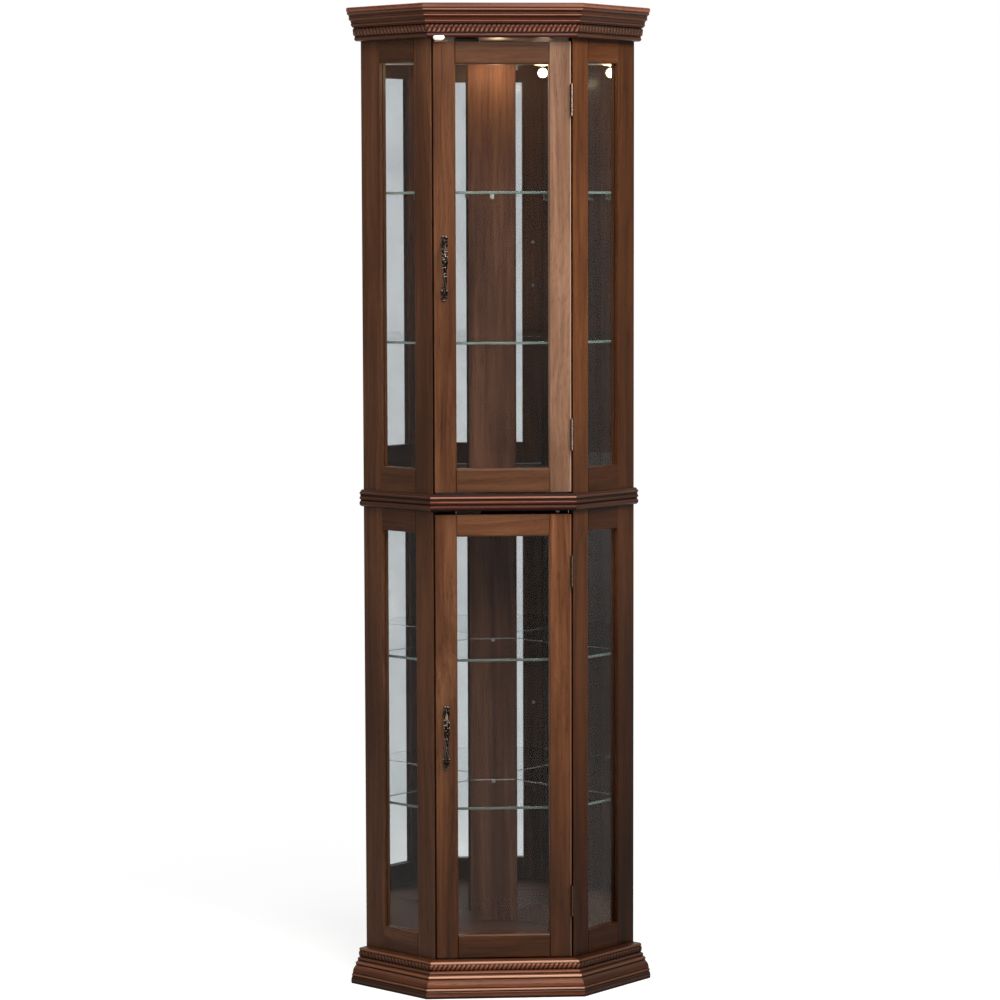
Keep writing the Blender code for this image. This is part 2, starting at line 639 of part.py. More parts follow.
def make_door_frame(door):
    """Stiles, rails and glass of one door, in the closed place."""
    low, high = door_range(door)
    parent = parents[door]
    inner = DOOR_EDGE - DOOR_STILE_WIDTH
    near, far = DOOR_GROOVE_LOW, DOOR_GROOVE_LOW + GROOVE_WIDTH
    outline = [(inner + DOOR_CHAMFER, 0), (DOOR_EDGE - 0.001, 0), (DOOR_EDGE, 0.001),
               (DOOR_EDGE, DOOR_THICKNESS), (inner, DOOR_THICKNESS), (inner, far),
               (inner + GROOVE_DEPTH, far), (inner + GROOVE_DEPTH, near), (inner, near),
               (inner, DOOR_CHAMFER)]
    stile = prism(outline, low, high)
    add_part(f"{door}_door_handle_stile", mirrored(stile), "door", parent)
    add_part(f"{door}_door_hinge_stile", stile, "door", parent)

    glass_low, glass_high = low + DOOR_BOTTOM_RAIL, high - DOOR_TOP_RAIL
    start, end = -inner + CLEARANCE, inner - CLEARANCE
    bottom = rail(start, end, DOOR_THICKNESS, low, glass_low, False, True, DOOR_CHAMFER)
    top = rail(start, end, DOOR_THICKNESS, glass_high, high, True, False, DOOR_CHAMFER)
    add_part(f"{door}_door_bottom_rail", bottom, "door", parent)
    add_part(f"{door}_door_top_rail", top, "door", parent)
    pane = box((-inner - GRIP, near + CLEARANCE, glass_low - GRIP),
               (inner + GRIP, near + CLEARANCE + GLASS_THICKNESS, glass_high + GRIP))
    add_part(f"{door}_door_glass", pane, "glass", parent)


def hinge_leaf(centre, moving):
    """One leaf of a butt hinge in the gap beside the door, with its share of the knuckles.

    The fixed leaf carries the pin. The moving leaf's knuckles are bored to turn on it.
    """
    side = -1 if moving else 1
    plate_far = DOOR_SIDE_GAP / 2 - CLEARANCE
    plate_near = plate_far - HINGE_LEAF_THICKNESS
    xs = sorted((HINGE_X + side * plate_near, HINGE_X + side * plate_far))
    bottom = centre - HINGE_LENGTH / 2
    knuckle = HINGE_LENGTH / HINGE_KNUCKLES
    mesh = box((xs[0], 0.0002, bottom), (xs[1], HINGE_LEAF_WIDTH, bottom + HINGE_LENGTH))
    for number in range(HINGE_KNUCKLES):
        if (number % 2 == 1) != moving:
            continue
        low = bottom + number * knuckle + CLEARANCE / 2
        high = low + knuckle - CLEARANCE
        tab = box((xs[0], HINGE_Y, low), (xs[1], 0.001, high))
        barrel = rod((HINGE_X, HINGE_Y, low), (HINGE_X, HINGE_Y, high), HINGE_BARREL_RADIUS, 16)
        mesh = combined(mesh, combined(barrel, tab, "UNION"), "UNION")
    pin_low, pin_high = bottom + CLEARANCE / 2, bottom + HINGE_LENGTH - CLEARANCE / 2
    if moving:
        bore = rod((HINGE_X, HINGE_Y, pin_low - 0.01), (HINGE_X, HINGE_Y, pin_high + 0.01),
                   HINGE_PIN_RADIUS + CLEARANCE, 16)
        return combined(mesh, bore, "DIFFERENCE")
    pin = rod((HINGE_X, HINGE_Y, pin_low), (HINGE_X, HINGE_Y, pin_high), HINGE_PIN_RADIUS, 16)
    return combined(mesh, pin, "UNION")


def make_hinges(door):
    for end, centre in hinge_centres(door):
        name = f"{door}_door_{end}_hinge"
        add_part(f"{name}_frame_leaf", hinge_leaf(centre, False), "brass", parents["cabinet"], smooth=30)
        add_part(f"{name}_door_leaf", hinge_leaf(centre, True), "brass", parents[door], smooth=30)


def bow_radius(share):
    """Thickness along the bow pull: a swelling in the middle, collars beside it."""
    away = abs(share)
    swelling = 0.0022 * math.exp(-(away / 0.14) ** 2)
    collar = 0.0013 * math.exp(-((away - 0.34) / 0.05) ** 2)
    return HANDLE_BAR_RADIUS + swelling + collar - 0.0008 * away


def make_handle(door):
    """Cast bow pull: leaf-shaped feet on the stile and a swelling bow between them."""
    low, high = door_range(door)
    centre = Vector((-DOOR_EDGE + HANDLE_INSET, -CLEARANCE, (low + high) / 2))
    span = HANDLE_LENGTH - HANDLE_FOOT_LENGTH
    reach = HANDLE_STANDOFF - bow_radius(0)
    curve = bpy.data.curves.new("bow", "CURVE")
    curve.dimensions = "3D"
    curve.bevel_depth = 1.0
    curve.bevel_resolution = 2
    curve.use_fill_caps = True
    steps = 30
    spline = curve.splines.new("POLY")
    spline.points.add(steps)
    for step, point in enumerate(spline.points):
        share = 2 * step / steps - 1
        out = reach * (1 - abs(share) ** 2.6) + 0.0012
        point.co = (*(centre + Vector((0, -out, share * span / 2))), 1.0)
        point.radius = bow_radius(share)
    mesh = curve_solid(curve)
    for way in (-1, 1):
        foot_centre = centre + Vector((0, 0, way * (HANDLE_LENGTH - HANDLE_FOOT_LENGTH) / 2))
        foot = ball(foot_centre, (HANDLE_WIDTH / 2, HANDLE_FOOT_THICKNESS, HANDLE_FOOT_LENGTH / 2), 12, 8)
        mesh = combined(mesh, foot, "UNION")
    behind = box(centre - Vector((0.05, 0, HANDLE_LENGTH)), centre + Vector((0.05, 0.05, HANDLE_LENGTH)))
    mesh = combined(mesh, behind, "DIFFERENCE")
    add_part(f"{door}_door_handle", mesh, "bronze", parents[door], smooth=50)


def make_empty(name, place, parent=None):
    empty = bpy.data.objects.new(name, None)
    empty.empty_display_size = 0.05
    empty.location = place
    empty.parent = parent
    collection.objects.link(empty)
    return empty


for leftover in list(bpy.data.objects):
    bpy.data.objects.remove(leftover)
collection = bpy.data.collections.new("corner_cabinet")
bpy.context.scene.collection.children.link(collection)

parents = {"cabinet": make_empty("cabinet_frame", (0, -CENTRE_Y, 0))}
for door_name in ("lower", "upper"):
    axis_place = (HINGE_X, HINGE_Y, sum(door_range(door_name)) / 2)
    parents[door_name] = make_empty(f"{door_name}_door_axis", axis_place, parents["cabinet"])
bpy.context.view_layer.update()

make_carcass()
make_side_stiles()
make_side_rails_and_glass()
make_back()
make_mouldings()
make_shelves()
make_fittings()
for door_name in ("lower", "upper"):
    make_door_frame(door_name)
    make_hinges(door_name)
    make_handle(door_name)
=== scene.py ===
"""Looks of the corner display cabinet: stained wood, turned mouldings, glass, bronze and lamps.

Metres, +Z up, front towards -Y. Plan coordinates have y = 0 on the front of the body, as in
the part's source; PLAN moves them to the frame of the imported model. Profiles of mouldings and
of turned pieces are in millimetres.
"""
import random
from math import acos, cos, dist, exp, pi, radians, sin, sqrt, tan

import bmesh
import bpy
from mathutils import Matrix, Vector


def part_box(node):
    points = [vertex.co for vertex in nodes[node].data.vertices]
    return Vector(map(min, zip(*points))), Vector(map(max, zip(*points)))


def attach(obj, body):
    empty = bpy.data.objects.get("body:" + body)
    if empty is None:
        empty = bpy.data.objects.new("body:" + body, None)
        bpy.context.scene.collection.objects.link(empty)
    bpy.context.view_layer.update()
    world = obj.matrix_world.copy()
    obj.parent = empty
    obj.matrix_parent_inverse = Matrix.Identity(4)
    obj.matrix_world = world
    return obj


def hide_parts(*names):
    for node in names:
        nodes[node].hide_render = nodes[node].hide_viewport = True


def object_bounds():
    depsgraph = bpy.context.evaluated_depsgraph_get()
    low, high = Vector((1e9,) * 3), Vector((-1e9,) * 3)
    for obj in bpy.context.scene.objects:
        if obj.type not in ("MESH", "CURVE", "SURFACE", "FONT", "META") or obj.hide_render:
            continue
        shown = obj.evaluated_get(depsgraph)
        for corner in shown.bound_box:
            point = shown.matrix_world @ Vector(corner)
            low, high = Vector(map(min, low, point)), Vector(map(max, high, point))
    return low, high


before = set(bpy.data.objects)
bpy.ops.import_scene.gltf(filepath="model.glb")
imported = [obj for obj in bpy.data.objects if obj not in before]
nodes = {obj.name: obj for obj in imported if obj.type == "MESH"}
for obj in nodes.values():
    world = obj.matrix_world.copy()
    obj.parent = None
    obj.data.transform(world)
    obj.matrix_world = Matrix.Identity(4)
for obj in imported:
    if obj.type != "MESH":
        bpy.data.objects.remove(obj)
cad_low, cad_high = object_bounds()
scene = bpy.context.scene

# Sizes that follow the part's source
MM = 0.001
ROOT2 = sqrt(2.0)
FRONT_WIDTH = 0.257
HALF_FRONT = FRONT_WIDTH / 2
SIDE_LENGTH = 0.1734
SIDE_RUN = SIDE_LENGTH / ROOT2
WALL_SUM = HALF_FRONT + 2 * SIDE_RUN
BACK_STRIP_WIDTH = 0.074
BACK_Y = WALL_SUM - BACK_STRIP_WIDTH / 2
MITRE_ANGLE = radians(22.5)
MITRE_SLOPE = tan(MITRE_ANGLE)
CLEARANCE = 0.0003
FRAME_THICKNESS = 0.018
FRONT_STILE_WIDTH = 0.0415
REAR_STILE_WIDTH = 0.047
STILE_NIB = 0.0016
GROOVE_WIDTH = 0.0036
GROOVE_DEPTH = 0.006
DOOR_THICKNESS = 0.020
DOOR_STILE_WIDTH = 0.040
DOOR_CHAMFER = 0.0025
ROPE_SEAT = 0.0165
ROPE_PROUD = 0.0045
ROPE_PITCH = 0.0085
HINGE_X = HALF_FRONT - STILE_NIB - 0.0015

# Sizes of the scene's own small forms
STOP_GAP = 0.0009   # from the back of a closed door to the lips and strips behind it
STOP_LIP = 0.0058
PIN_INSET = 0.017
POST_DEPTH = 0.015
PIN_DROP = 0.0025
LEAF_FACE = 0.0002   # from the plane between two hinge leaves to the screw heads
SCREW_BACK = 0.0085
SCREW_SHARES = (0.17, 0.5, 0.83)
PULL_SCREW = 43.5
LENS_INSET = 0.020
LAMP_DROP = 0.016
BUMPER_X = 0.0996
BUMPER_BACK = 0.007

DOORS = ("upper_door", "lower_door")
SHELVES = ("upper_shelf_2", "upper_shelf_1", "lower_shelf_2", "lower_shelf_1")
FRONT_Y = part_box("upper_door_handle_stile")[0].y
HERE = Matrix.Identity(4)
PLAN = Matrix.Translation((0, FRONT_Y, 0))
SIDE = Matrix.Translation((HALF_FRONT, 0, 0)) @ Matrix.Rotation(radians(45), 4, "Z")
MIRROR = Matrix.Scale(-1, 4, (1, 0, 0))
IN_MM = Matrix.Scale(MM, 4)
SIDES = (("right", HERE), ("left", MIRROR))
CROWN_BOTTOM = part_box("crown_front")[0].z
WAIST_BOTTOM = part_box("waist_front")[0].z
DOOR_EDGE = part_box("upper_door_hinge_stile")[1].x


def srgb(red, green, blue):
    """Linear colour from 0 to 255 display values."""
    return tuple(((c / 255 + 0.055) / 1.055) ** 2.4 if c > 10 else c / 255 / 12.92
                 for c in (red, green, blue))


# Materials

class Nodes:
    """A node tree, built one node at a time. A node that is handed on gives its first output."""

    def __init__(self, tree):
        self.tree = tree
        tree.nodes.clear()

    def put(self, kind, inputs=None, **settings):
        node = self.tree.nodes.new("ShaderNode" + kind)
        for key, value in settings.items():
            setattr(node, key, value)
        for key, value in (inputs or {}).items():
            self.feed(node.inputs[key], value)
        return node

    def feed(self, socket, value):
        if isinstance(value, bpy.types.Node):
            value = value.outputs[0]
        if isinstance(value, bpy.types.NodeSocket):
            self.tree.links.new(value, socket)
        elif socket.type == "RGBA" and len(value) == 3:
            socket.default_value = (*value, 1.0)
        else:
            socket.default_value = value

    def part(self, vector, axis):
        return self.put("SeparateXYZ", {0: vector}).outputs[axis]

    def stretched(self, vector, scale):
        return self.put("VectorMath", {0: vector, 1: scale}, operation="MULTIPLY")

    def noise(self, vector, scale, detail, roughness=0.55, distortion=0.0):
        """Noise between 0 and 1. The scale is one number or one for each axis."""
        if isinstance(scale, tuple):
            vector, scale = self.stretched(vector, scale), 1.0
        inputs = {"Vector": vector, "Scale": scale, "Detail": detail, "Roughness": roughness,
                  "Distortion": distortion}
        return self.put("TexNoise", inputs).outputs["Fac"]

    def span(self, value, low, high, to_low=0.0, to_high=1.0):
        return self.put("MapRange", {"Value": value, "From Min": low, "From Max": high,
                                     "To Min": to_low, "To Max": to_high}).outputs["Result"]

    def math(self, operation, first, second=0.0, clamp=False):
        return self.put("Math", {0: first, 1: second}, operation=operation, use_clamp=clamp)

    def times(self, first, second):
        return self.math("MULTIPLY", first, second)

    def ramp(self, value, stops):
        node = self.put("ValToRGB", {"Fac": value})
        elements = node.color_ramp.elements
        while len(elements) < len(stops):
            elements.new(0.5)
        for element, (place, colour) in zip(elements, stops):
            element.position = place
            element.color = (*colour, 1.0)
        return node.outputs["Color"]

    def mix(self, factor, first, second, blend="MIX"):
        node = self.put("Mix", data_type="RGBA", blend_type=blend)
        self.feed(node.inputs[0], factor)
        self.feed(node.inputs[6], first)
        self.feed(node.inputs[7], second)
        return node.outputs[2]

    def bump(self, height, distance, strength):
        return self.put("Bump", {"Height": height, "Distance": distance,
                                 "Strength": strength}).outputs["Normal"]

    def shows_backdrop(self, behind):
        """1 for rays of the camera and through glass, and for reflected ones behind the cabinet."""
        path = self.put("LightPath").outputs
        seen = self.math("MAXIMUM", path["Is Camera Ray"], path["Is Transmission Ray"])
        return self.math("MAXIMUM", seen, self.times(path["Is Glossy Ray"], behind))


class Finish(Nodes):
    """A node material."""

    def __init__(self, name):
        self.material = bpy.data.materials.new(name)
        self.material.use_nodes = True
        super().__init__(self.material.node_tree)
        self.texture = self.put("TexCoord").outputs
        self.coordinates = self.texture["Object"]

    def done(self, inputs):
        """Close the material with a Principled shader."""
        return self.closed(self.put("BsdfPrincipled", inputs))

    def closed(self, shader):
        self.put("OutputMaterial", {"Surface": shader})
        return self.material


GRAIN_TURNS = {"z": (0, radians(90), 0), "x": (0, 0, 0),
               "right": (0, 0, radians(-45)), "left": (0, 0, radians(45))}
WOODS = {   # dark, middle and light of the stain; roughness, strength of the figure, shine, lacquer. Left and right frames, side mouldings and the base front differ partly as painted light and shade
    "door": ((70, 39, 22), (106, 66, 41), (138, 92, 61), 0.34, 1.0, 0.28, 0.10),
    # A lighter door stain that stands as a painted sheen.
    "door_painted_sheen": ((92, 63, 47), (126, 92, 71), (154, 118, 95), 0.34, 0.8, 0.30, 0.12),
    "frame_left": ((58, 33, 19), (86, 53, 33), (110, 71, 46), 0.40, 0.9, 0.22, 0.08),
    "frame_right": ((55, 29, 13), (86, 50, 27), (110, 67, 38), 0.38, 0.9, 0.14, 0.04),
    "moulding_front": ((58, 18, 5), (94, 38, 15), (124, 58, 29), 0.33, 0.7, 0.22, 0.06),
    "base_front": ((92, 44, 24), (128, 74, 48), (158, 102, 72), 0.33, 0.7, 0.22, 0.06),
    "top_face": ((58, 28, 16), (92, 48, 29), (120, 68, 44), 0.62, 0.9, 0.06, 0.0),
    "moulding_side": ((56, 29, 17), (84, 48, 30), (106, 63, 41), 0.36, 0.7, 0.22, 0.06),
    "board": ((52, 33, 24), (76, 49, 37), (98, 67, 50), 0.50, 1.0, 0.05, 0.0),
    "back": ((58, 40, 28), (78, 56, 40), (94, 70, 51), 0.68, 0.6, 0.05, 0.0),
}
GLAZE_SHADE_AND_HIGHLIGHT = {   # stain left in the hollows with painted shade, and rubbed colour on the crests with painted highlight
    "moulding_front": ((24, 4, 0), (210, 156, 128)),
    "base_front": ((26, 6, 1), (240, 184, 154)),
    "door": ((24, 10, 5), (176, 138, 118)),
    "door_painted_sheen": ((24, 10, 5), (206, 176, 158)),
    "moulding_side": ((24, 10, 5), (126, 80, 54)),
}
PAINTED_LIGHT_BY_HEIGHT = {   # painted light and shade by height on the profile: the height, how much a crest's painted highlight shows there, and how much painted light is added, negative for painted shade
    "crown": ((0, 0.5, 0), (9, 0.5, 0), (25, 0.55, 0), (33, 0.6, 0), (42, 0.6, 0), (46, 0.8, 0),
              (48, 0.5, 0.22), (50, 0.2, 0.42), (51, 0, 0.55)),
    "waist": ((0, 0, -0.8), (3, 0.1, -0.8), (6, 0.2, -0.65), (9, 0.25, -0.58), (11, 0.3, -0.6),
              (13, 0.7, -0.1), (18, 0.8, 0), (20, 0.8, -0.15), (22, 0.9, 0), (24, 0.95, 0),
              (26, 0.95, 0), (27.6, 0.3, -0.6), (31, 0, -1)),
    "waist_side": ((0, 0, -0.3), (6, 0.2, -0.2), (13, 0.5, -0.1), (26, 0.6, 0), (28, 0.3, -0.3),
                   (31, 0, -0.6)),
    "base": ((0, 0, -1), (2.8, 0, -1), (4.2, 0.2, -0.3), (6, 0.2, -0.14), (8, 0.1, -0.35),
             (11, 0, -0.8), (13, 1, 0.05), (18, 1, 0.05), (20, 0.5, -0.1), (24, 0.5, 0),
             (30, 0.5, 0.22), (33, 1, 0), (35, 1.4, 0.15), (38.5, 1.4, 0.15), (40, 0.8, 0),
             (42, 0.55, 0), (46, 0.55, 0), (59, 1, 0), (60, 1.2, 0.1), (62, 1.3, 0.15),
             (63, 0.8, 0), (64, 0, -0.8)),
}
TONES_AND_PAINTED_SHADE = {   # how light a piece is against its kind of wood, partly the board's own tone and partly painted light and shade for the light on that piece
    "crown_front": 0.82, "crown_right": 0.74, "crown_left": 1.14, "top_board": 0.86,
    "waist_right": 0.76, "waist_left": 0.70, "base_right": 0.78, "base_left": 1.10,
    "right_front_stile": 0.93, "right_rear_stile": 0.64, "right_middle_rail": 0.62,
    "left_middle_rail": 0.80, "left_top_rail": 0.58, "left_bottom_rail": 0.86,
    "upper_door_hinge_stile": 1.14, "upper_door_handle_stile": 0.94,
    "upper_door_bottom_rail": 0.63, "upper_door_top_rail": 0.68,
    "lower_door_hinge_stile": 0.90, "lower_door_handle_stile": 0.96,
    "back_post": 1.45, "bottom_panel": 0.78, "stop_strips": 0.6,
}
PAINTED_SHADE_FADES = {   # painted shade up a piece: a height in metres, the depth of the painted shade there, and the same at a second height
    "right_front_stile": (0.27, 0.60, 0.66, 1.28), "right_rear_stile": (0.24, 0.40, 0.75, 1.17),
    "right_bottom_rail": (0.2, 0.52, 0.4, 1.0),
    "upper_door_hinge_stile": (1.50, 1.0, 1.73, 0.72),
    "lower_door_hinge_stile": (0.17, 0.51, 0.75, 1.75),
    "lower_door_handle_stile": (0.17, 0.62, 0.55, 1.0),
    "lower_door_bottom_rail": (0.2, 0.62, 0.4, 1.0),
}
WARM_SHADE_BELOW = 0.5   # painted shade that begins below this height is warmer there
WARM_SHADE_COLOUR = (1.0, 0.82, 0.50)
BOARD_RANGE = 20
random_places = random.Random(2042)


def wood(kind, grain, piece=None):
    """Stained and lacquered wood with the grain along one way. Each call is a board of its own."""
    *stain, gloss, figure, shine, lacquer = WOODS[kind]
    # A piece's tone and fade are partly painted light and shade.
    tone_and_shade, fade = TONES_AND_PAINTED_SHADE.get(piece, 1.0), PAINTED_SHADE_FADES.get(piece)
    dark, middle, light = (tuple(c * tone_and_shade for c in srgb(*colour)) for colour in stain)
    look = Finish(f"wood_{kind}_{grain}")
    start = [random_places.uniform(-BOARD_RANGE, BOARD_RANGE) for _ in range(3)]
    turned = look.put("Mapping", {"Vector": look.coordinates, "Location": start,
                                  "Rotation": GRAIN_TURNS[grain]})
    wander = look.noise(turned, (1.6, 6.0, 6.0), 2.0)
    sideways = look.put("CombineXYZ", {"Y": wander, "Z": wander})
    bent = look.put("VectorMath", {0: turned, 1: look.stretched(sideways, (0, 0.06, 0.05))},
                    operation="ADD")
    bands = look.noise(bent, (1.1, 26.0, 26.0), 4.0, 0.6, 0.6)
    streaks = look.noise(bent, (4.5, 170.0, 170.0), 4.0, 0.65)
    clouds = look.noise(turned, (3.0, 7.0, 7.0), 2.0)
    pores = look.span(look.noise(bent, (38.0, 950.0, 950.0), 2.0, 0.5), 0.57, 0.70)
    band_share, streak_share, cloud_share = 0.50 * figure + 0.10, 0.34, 0.30
    blend = look.math("ADD", look.times(bands, band_share), look.times(streaks, streak_share))
    blend = look.math("ADD", blend, look.times(clouds, cloud_share))
    centre = 0.5 * (band_share + streak_share + cloud_share)
    colour = look.ramp(look.math("ADD", blend, 0.5 - centre),
                       [(0.34, dark), (0.50, middle), (0.66, light)])
    pore_colour = tuple(c * 0.42 for c in dark)
    colour = look.mix(look.times(pores, 0.55), colour, pore_colour)
    # Painted shade: the colour darkens and lightens with height, and warms low down.
    if fade:
        low, low_shade, high, high_shade = fade
        rise = look.part(look.coordinates, "Z")
        depth = look.span(rise, low, high, low_shade, high_shade)
        colour = look.mix(1.0, colour, depth, "MULTIPLY")
        if low < WARM_SHADE_BELOW:
            warm_shade = look.span(rise, low, high, 1.0, 0.0)
            colour = look.mix(warm_shade, colour, WARM_SHADE_COLOUR, "MULTIPLY")
    rough = look.span(look.math("ADD", clouds, look.times(pores, 0.6)),
                      0.3, 1.1, gloss - 0.05, gloss + 0.13)
    # Hollows darken with glaze and painted shade; crests lighten with rubbing and painted
    # highlight.
    if kind in GLAZE_SHADE_AND_HIGHLIGHT:
        hollow_glaze_and_shade, crest = (srgb(*colours) for colours in GLAZE_SHADE_AND_HIGHLIGHT[kind])
        relief = look.put("Attribute", attribute_name="relief").outputs["Fac"]
        sunk = look.span(relief, -0.10, -0.75, 0.0, 0.92)
        colour = look.mix(sunk, colour, hollow_glaze_and_shade)
        uneven = look.times(streaks, 0.5)
        rub_and_highlight = look.math("SUBTRACT", look.span(relief, 0.15, 0.90, 0.0, 1.15), uneven, True)
        colour = look.mix(rub_and_highlight, colour, tuple(c * tone_and_shade for c in crest))
        rough = look.math("ADD", rough, look.times(sunk, 0.35))
    height = look.math("SUBTRACT", look.times(streaks, 0.35), pores)
    return look.done({"Base Color": colour, "Roughness": rough, "Specular IOR Level": shine,
                      "Coat Weight": lacquer, "Coat Roughness": 0.14,
                      "Normal": look.bump(height, 0.00012, 0.55)})


def clear_glass(name, tint_low, tint_high, edge=False, bending=1.47):
    """Float glass. Light from the lamps passes it unbent."""
    look = Finish(name)
    tint = look.ramp(look.noise(look.coordinates, 6.0, 2.0), [(0.35, tint_low), (0.65, tint_high)])
    shader = look.put("BsdfPrincipled", {
        "Base Color": tint, "Roughness": 0.16 if edge else 0.0, "IOR": bending,
        "Transmission Weight": 0.80 if edge else 1.0})
    clear = look.put("BsdfTransparent", {"Color": tuple(0.5 + 0.5 * c for c in tint_high)})
    path = look.put("LightPath").outputs
    passes = look.math("MAXIMUM", path["Is Shadow Ray"], path["Is Diffuse Ray"])
    return look.closed(look.put("MixShader", {0: passes, 1: shader, 2: clear}))


def mirror_glass():
    look = Finish("silvered_mirror")
    haze = look.noise(look.coordinates, 9.0, 4.0)
    colour = look.ramp(haze, [(0.35, srgb(214, 216, 218)), (0.65, srgb(224, 226, 227))])
    return look.done({"Base Color": colour, "Metallic": 1.0, "Roughness": 0.0})


def metal(name, dark, light, low, high, grain, wear_and_painted_light=None, metallic=1.0, barrel_painted_highlight=None):
    """Cast, plated or brushed metal between two roughnesses.

    Raised forms take a paler colour that is partly rubbed wear and partly painted highlight, and
    hinge barrels take a painted highlight stripe along their front.
    """
    look = Finish(name)
    patches = look.noise(look.coordinates, grain / 5, 4.0, 0.6)
    speck = look.noise(look.coordinates, grain, 3.0, 0.6)
    colour = look.ramp(patches, [(0.34, srgb(*dark)), (0.66, srgb(*light))])
    rough = look.span(patches, 0.3, 0.7, low, high)
    # Partly rubbed wear, partly painted highlight on raised forms.
    if wear_and_painted_light:
        raised = look.put("NewGeometry").outputs["Pointiness"]
        rubbed_and_highlight = look.span(look.math("ADD", raised, look.times(speck, 0.06)), 0.536, 0.62)
        colour = look.mix(rubbed_and_highlight, colour, srgb(*wear_and_painted_light))
        rough = look.math("SUBTRACT", rough, look.times(rubbed_and_highlight, 0.12))
    # A painted highlight stripe down the front of a hinge barrel.
    if barrel_painted_highlight:
        facing = look.part(look.texture["Normal"], "Y")
        colour = look.mix(look.span(facing, -0.88, -0.97), colour, srgb(*barrel_painted_highlight))
    return look.done({"Base Color": colour, "Metallic": metallic, "Roughness": rough,
                      "Normal": look.bump(speck, 0.00008, 0.5)})


def plastic(name, dark, light, glow=0.0, glow_colour=(1.0, 0.93, 0.80)):
    look = Finish(name)
    mottle = look.noise(look.coordinates, 160.0, 3.0)
    inputs = {"Base Color": look.ramp(mottle, [(0.35, srgb(*dark)), (0.65, srgb(*light))]),
              "Roughness": look.span(mottle, 0.3, 0.7, 0.26, 0.38),
              "Normal": look.bump(mottle, 0.00005, 0.4)}
    if glow:
        inputs.update({"Emission Color": glow_colour, "Emission Strength": glow})
    return look.done(inputs)


# The pale colour on the pull's raised parts is partly rubbed wear and partly painted highlight.
bronze = metal("aged_bronze", (20, 14, 11), (70, 54, 42), 0.15, 0.28, 1200.0, (212, 206, 197))
steel = metal("plated_steel", (168, 166, 160), (202, 200, 194), 0.24, 0.38, 1500.0)
lamp_metal = metal("lamp_housing_metal", (160, 152, 138), (184, 176, 162), 0.36, 0.50, 1300.0)
# Hinge brass darker lower down as painted shade, each with a painted highlight stripe on its
# barrel.
brasses_with_painted_shade = {place: metal(f"hinge_brass_{place}", dark, light, 0.22, 0.34, 1300.0, None, 0.85, barrel_painted_highlight)
           for place, dark, light, barrel_painted_highlight in (
               ("upper_door", (46, 28, 19), (66, 42, 30), (240, 206, 184)),
               ("lower_door_top", (40, 25, 17), (58, 37, 26), (156, 132, 110)),
               ("lower_door_bottom", (34, 21, 14), (48, 31, 21), (100, 78, 58)))}
white_plastic = plastic("white_plastic", (168, 150, 132), (188, 172, 154))
# The touch switch cap glows faintly as painted light.
switch_painted_glow = plastic("touch_switch_plastic", (244, 238, 222), (252, 247, 234), 0.55)
lens_glow = plastic("lamp_lens", (255, 240, 205), (255, 248, 224), 2.8, (1.0, 0.80, 0.48))
rim_glow = plastic("lamp_rim", (214, 190, 150), (228, 206, 168), 0.85, (1.0, 0.66, 0.28))
pane_glass = clear_glass("pane_glass", (0.960, 0.972, 0.968), (0.984, 0.990, 0.988), bending=1.22)
shelf_glass = clear_glass("shelf_glass", (0.93, 0.98, 0.96), (0.965, 0.995, 0.985))
shelf_edge = clear_glass("shelf_edge_glass", (0.36, 0.50, 0.44), (0.48, 0.61, 0.55), edge=True)
silvered = mirror_glass()


# Mesh helpers

def linked(name, data):
    """A new object in the scene."""
    thing = bpy.data.objects.new(name, data)
    scene.collection.objects.link(thing)
    return thing


def mesh_of(shape, name):
    """The mesh of a bmesh, which is freed."""
    mesh = bpy.data.meshes.new(name)
    shape.to_mesh(mesh)
    shape.free()
    return mesh


def mesh_piece(name, shape, finishes, replaces=None, body="cabinet", matrix=PLAN,
               smooth=40, weighted=True):
    """Close a bmesh into a piece that rides on a body."""
    bmesh.ops.recalc_face_normals(shape, faces=shape.faces)
    mesh = mesh_of(placed(shape, matrix), name)
    piece = linked(name, mesh)
    for finish in finishes if isinstance(finishes, list) else [finishes]:
        mesh.materials.append(finish)
    mesh.shade_smooth()
    mesh.set_sharp_from_angle(angle=radians(smooth))
    if weighted:
        piece.modifiers.new("normals", "WEIGHTED_NORMAL").keep_sharp = True
        made = evaluated(piece)
        piece.modifiers.clear()
        piece.data = made
        made.name = name
    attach(piece, body)
    if replaces:
        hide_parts(replaces)


def evaluated(thing):
    """A new mesh of an object with its modifiers applied."""
    bpy.context.view_layer.update()
    graph = bpy.context.evaluated_depsgraph_get()
    return bpy.data.meshes.new_from_object(thing.evaluated_get(graph))


def arc(centre, radius, start, end, steps=None):
    """Points of an arc in millimetres, angles in degrees."""
    steps = steps or max(2, round(abs(end - start) / 15))
    angles = [radians(start + (end - start) * k / steps) for k in range(steps + 1)]
    return [(centre[0] + radius * cos(a), centre[1] + radius * sin(a)) for a in angles]


def circle(count):
    """The angles of equal steps round a full turn."""
    return [2 * pi * k / count for k in range(count)]


def bulged(start, end, bulge, steps):
    """A shallow curve between two points, left of its way where the bulge is positive."""
    run = Vector(end) - Vector(start)
    left = Vector((-run.y, run.x)).normalized()
    return [tuple(Vector(start) + run * k / steps + left * bulge * sin(pi * k / steps))
            for k in range(steps + 1)]


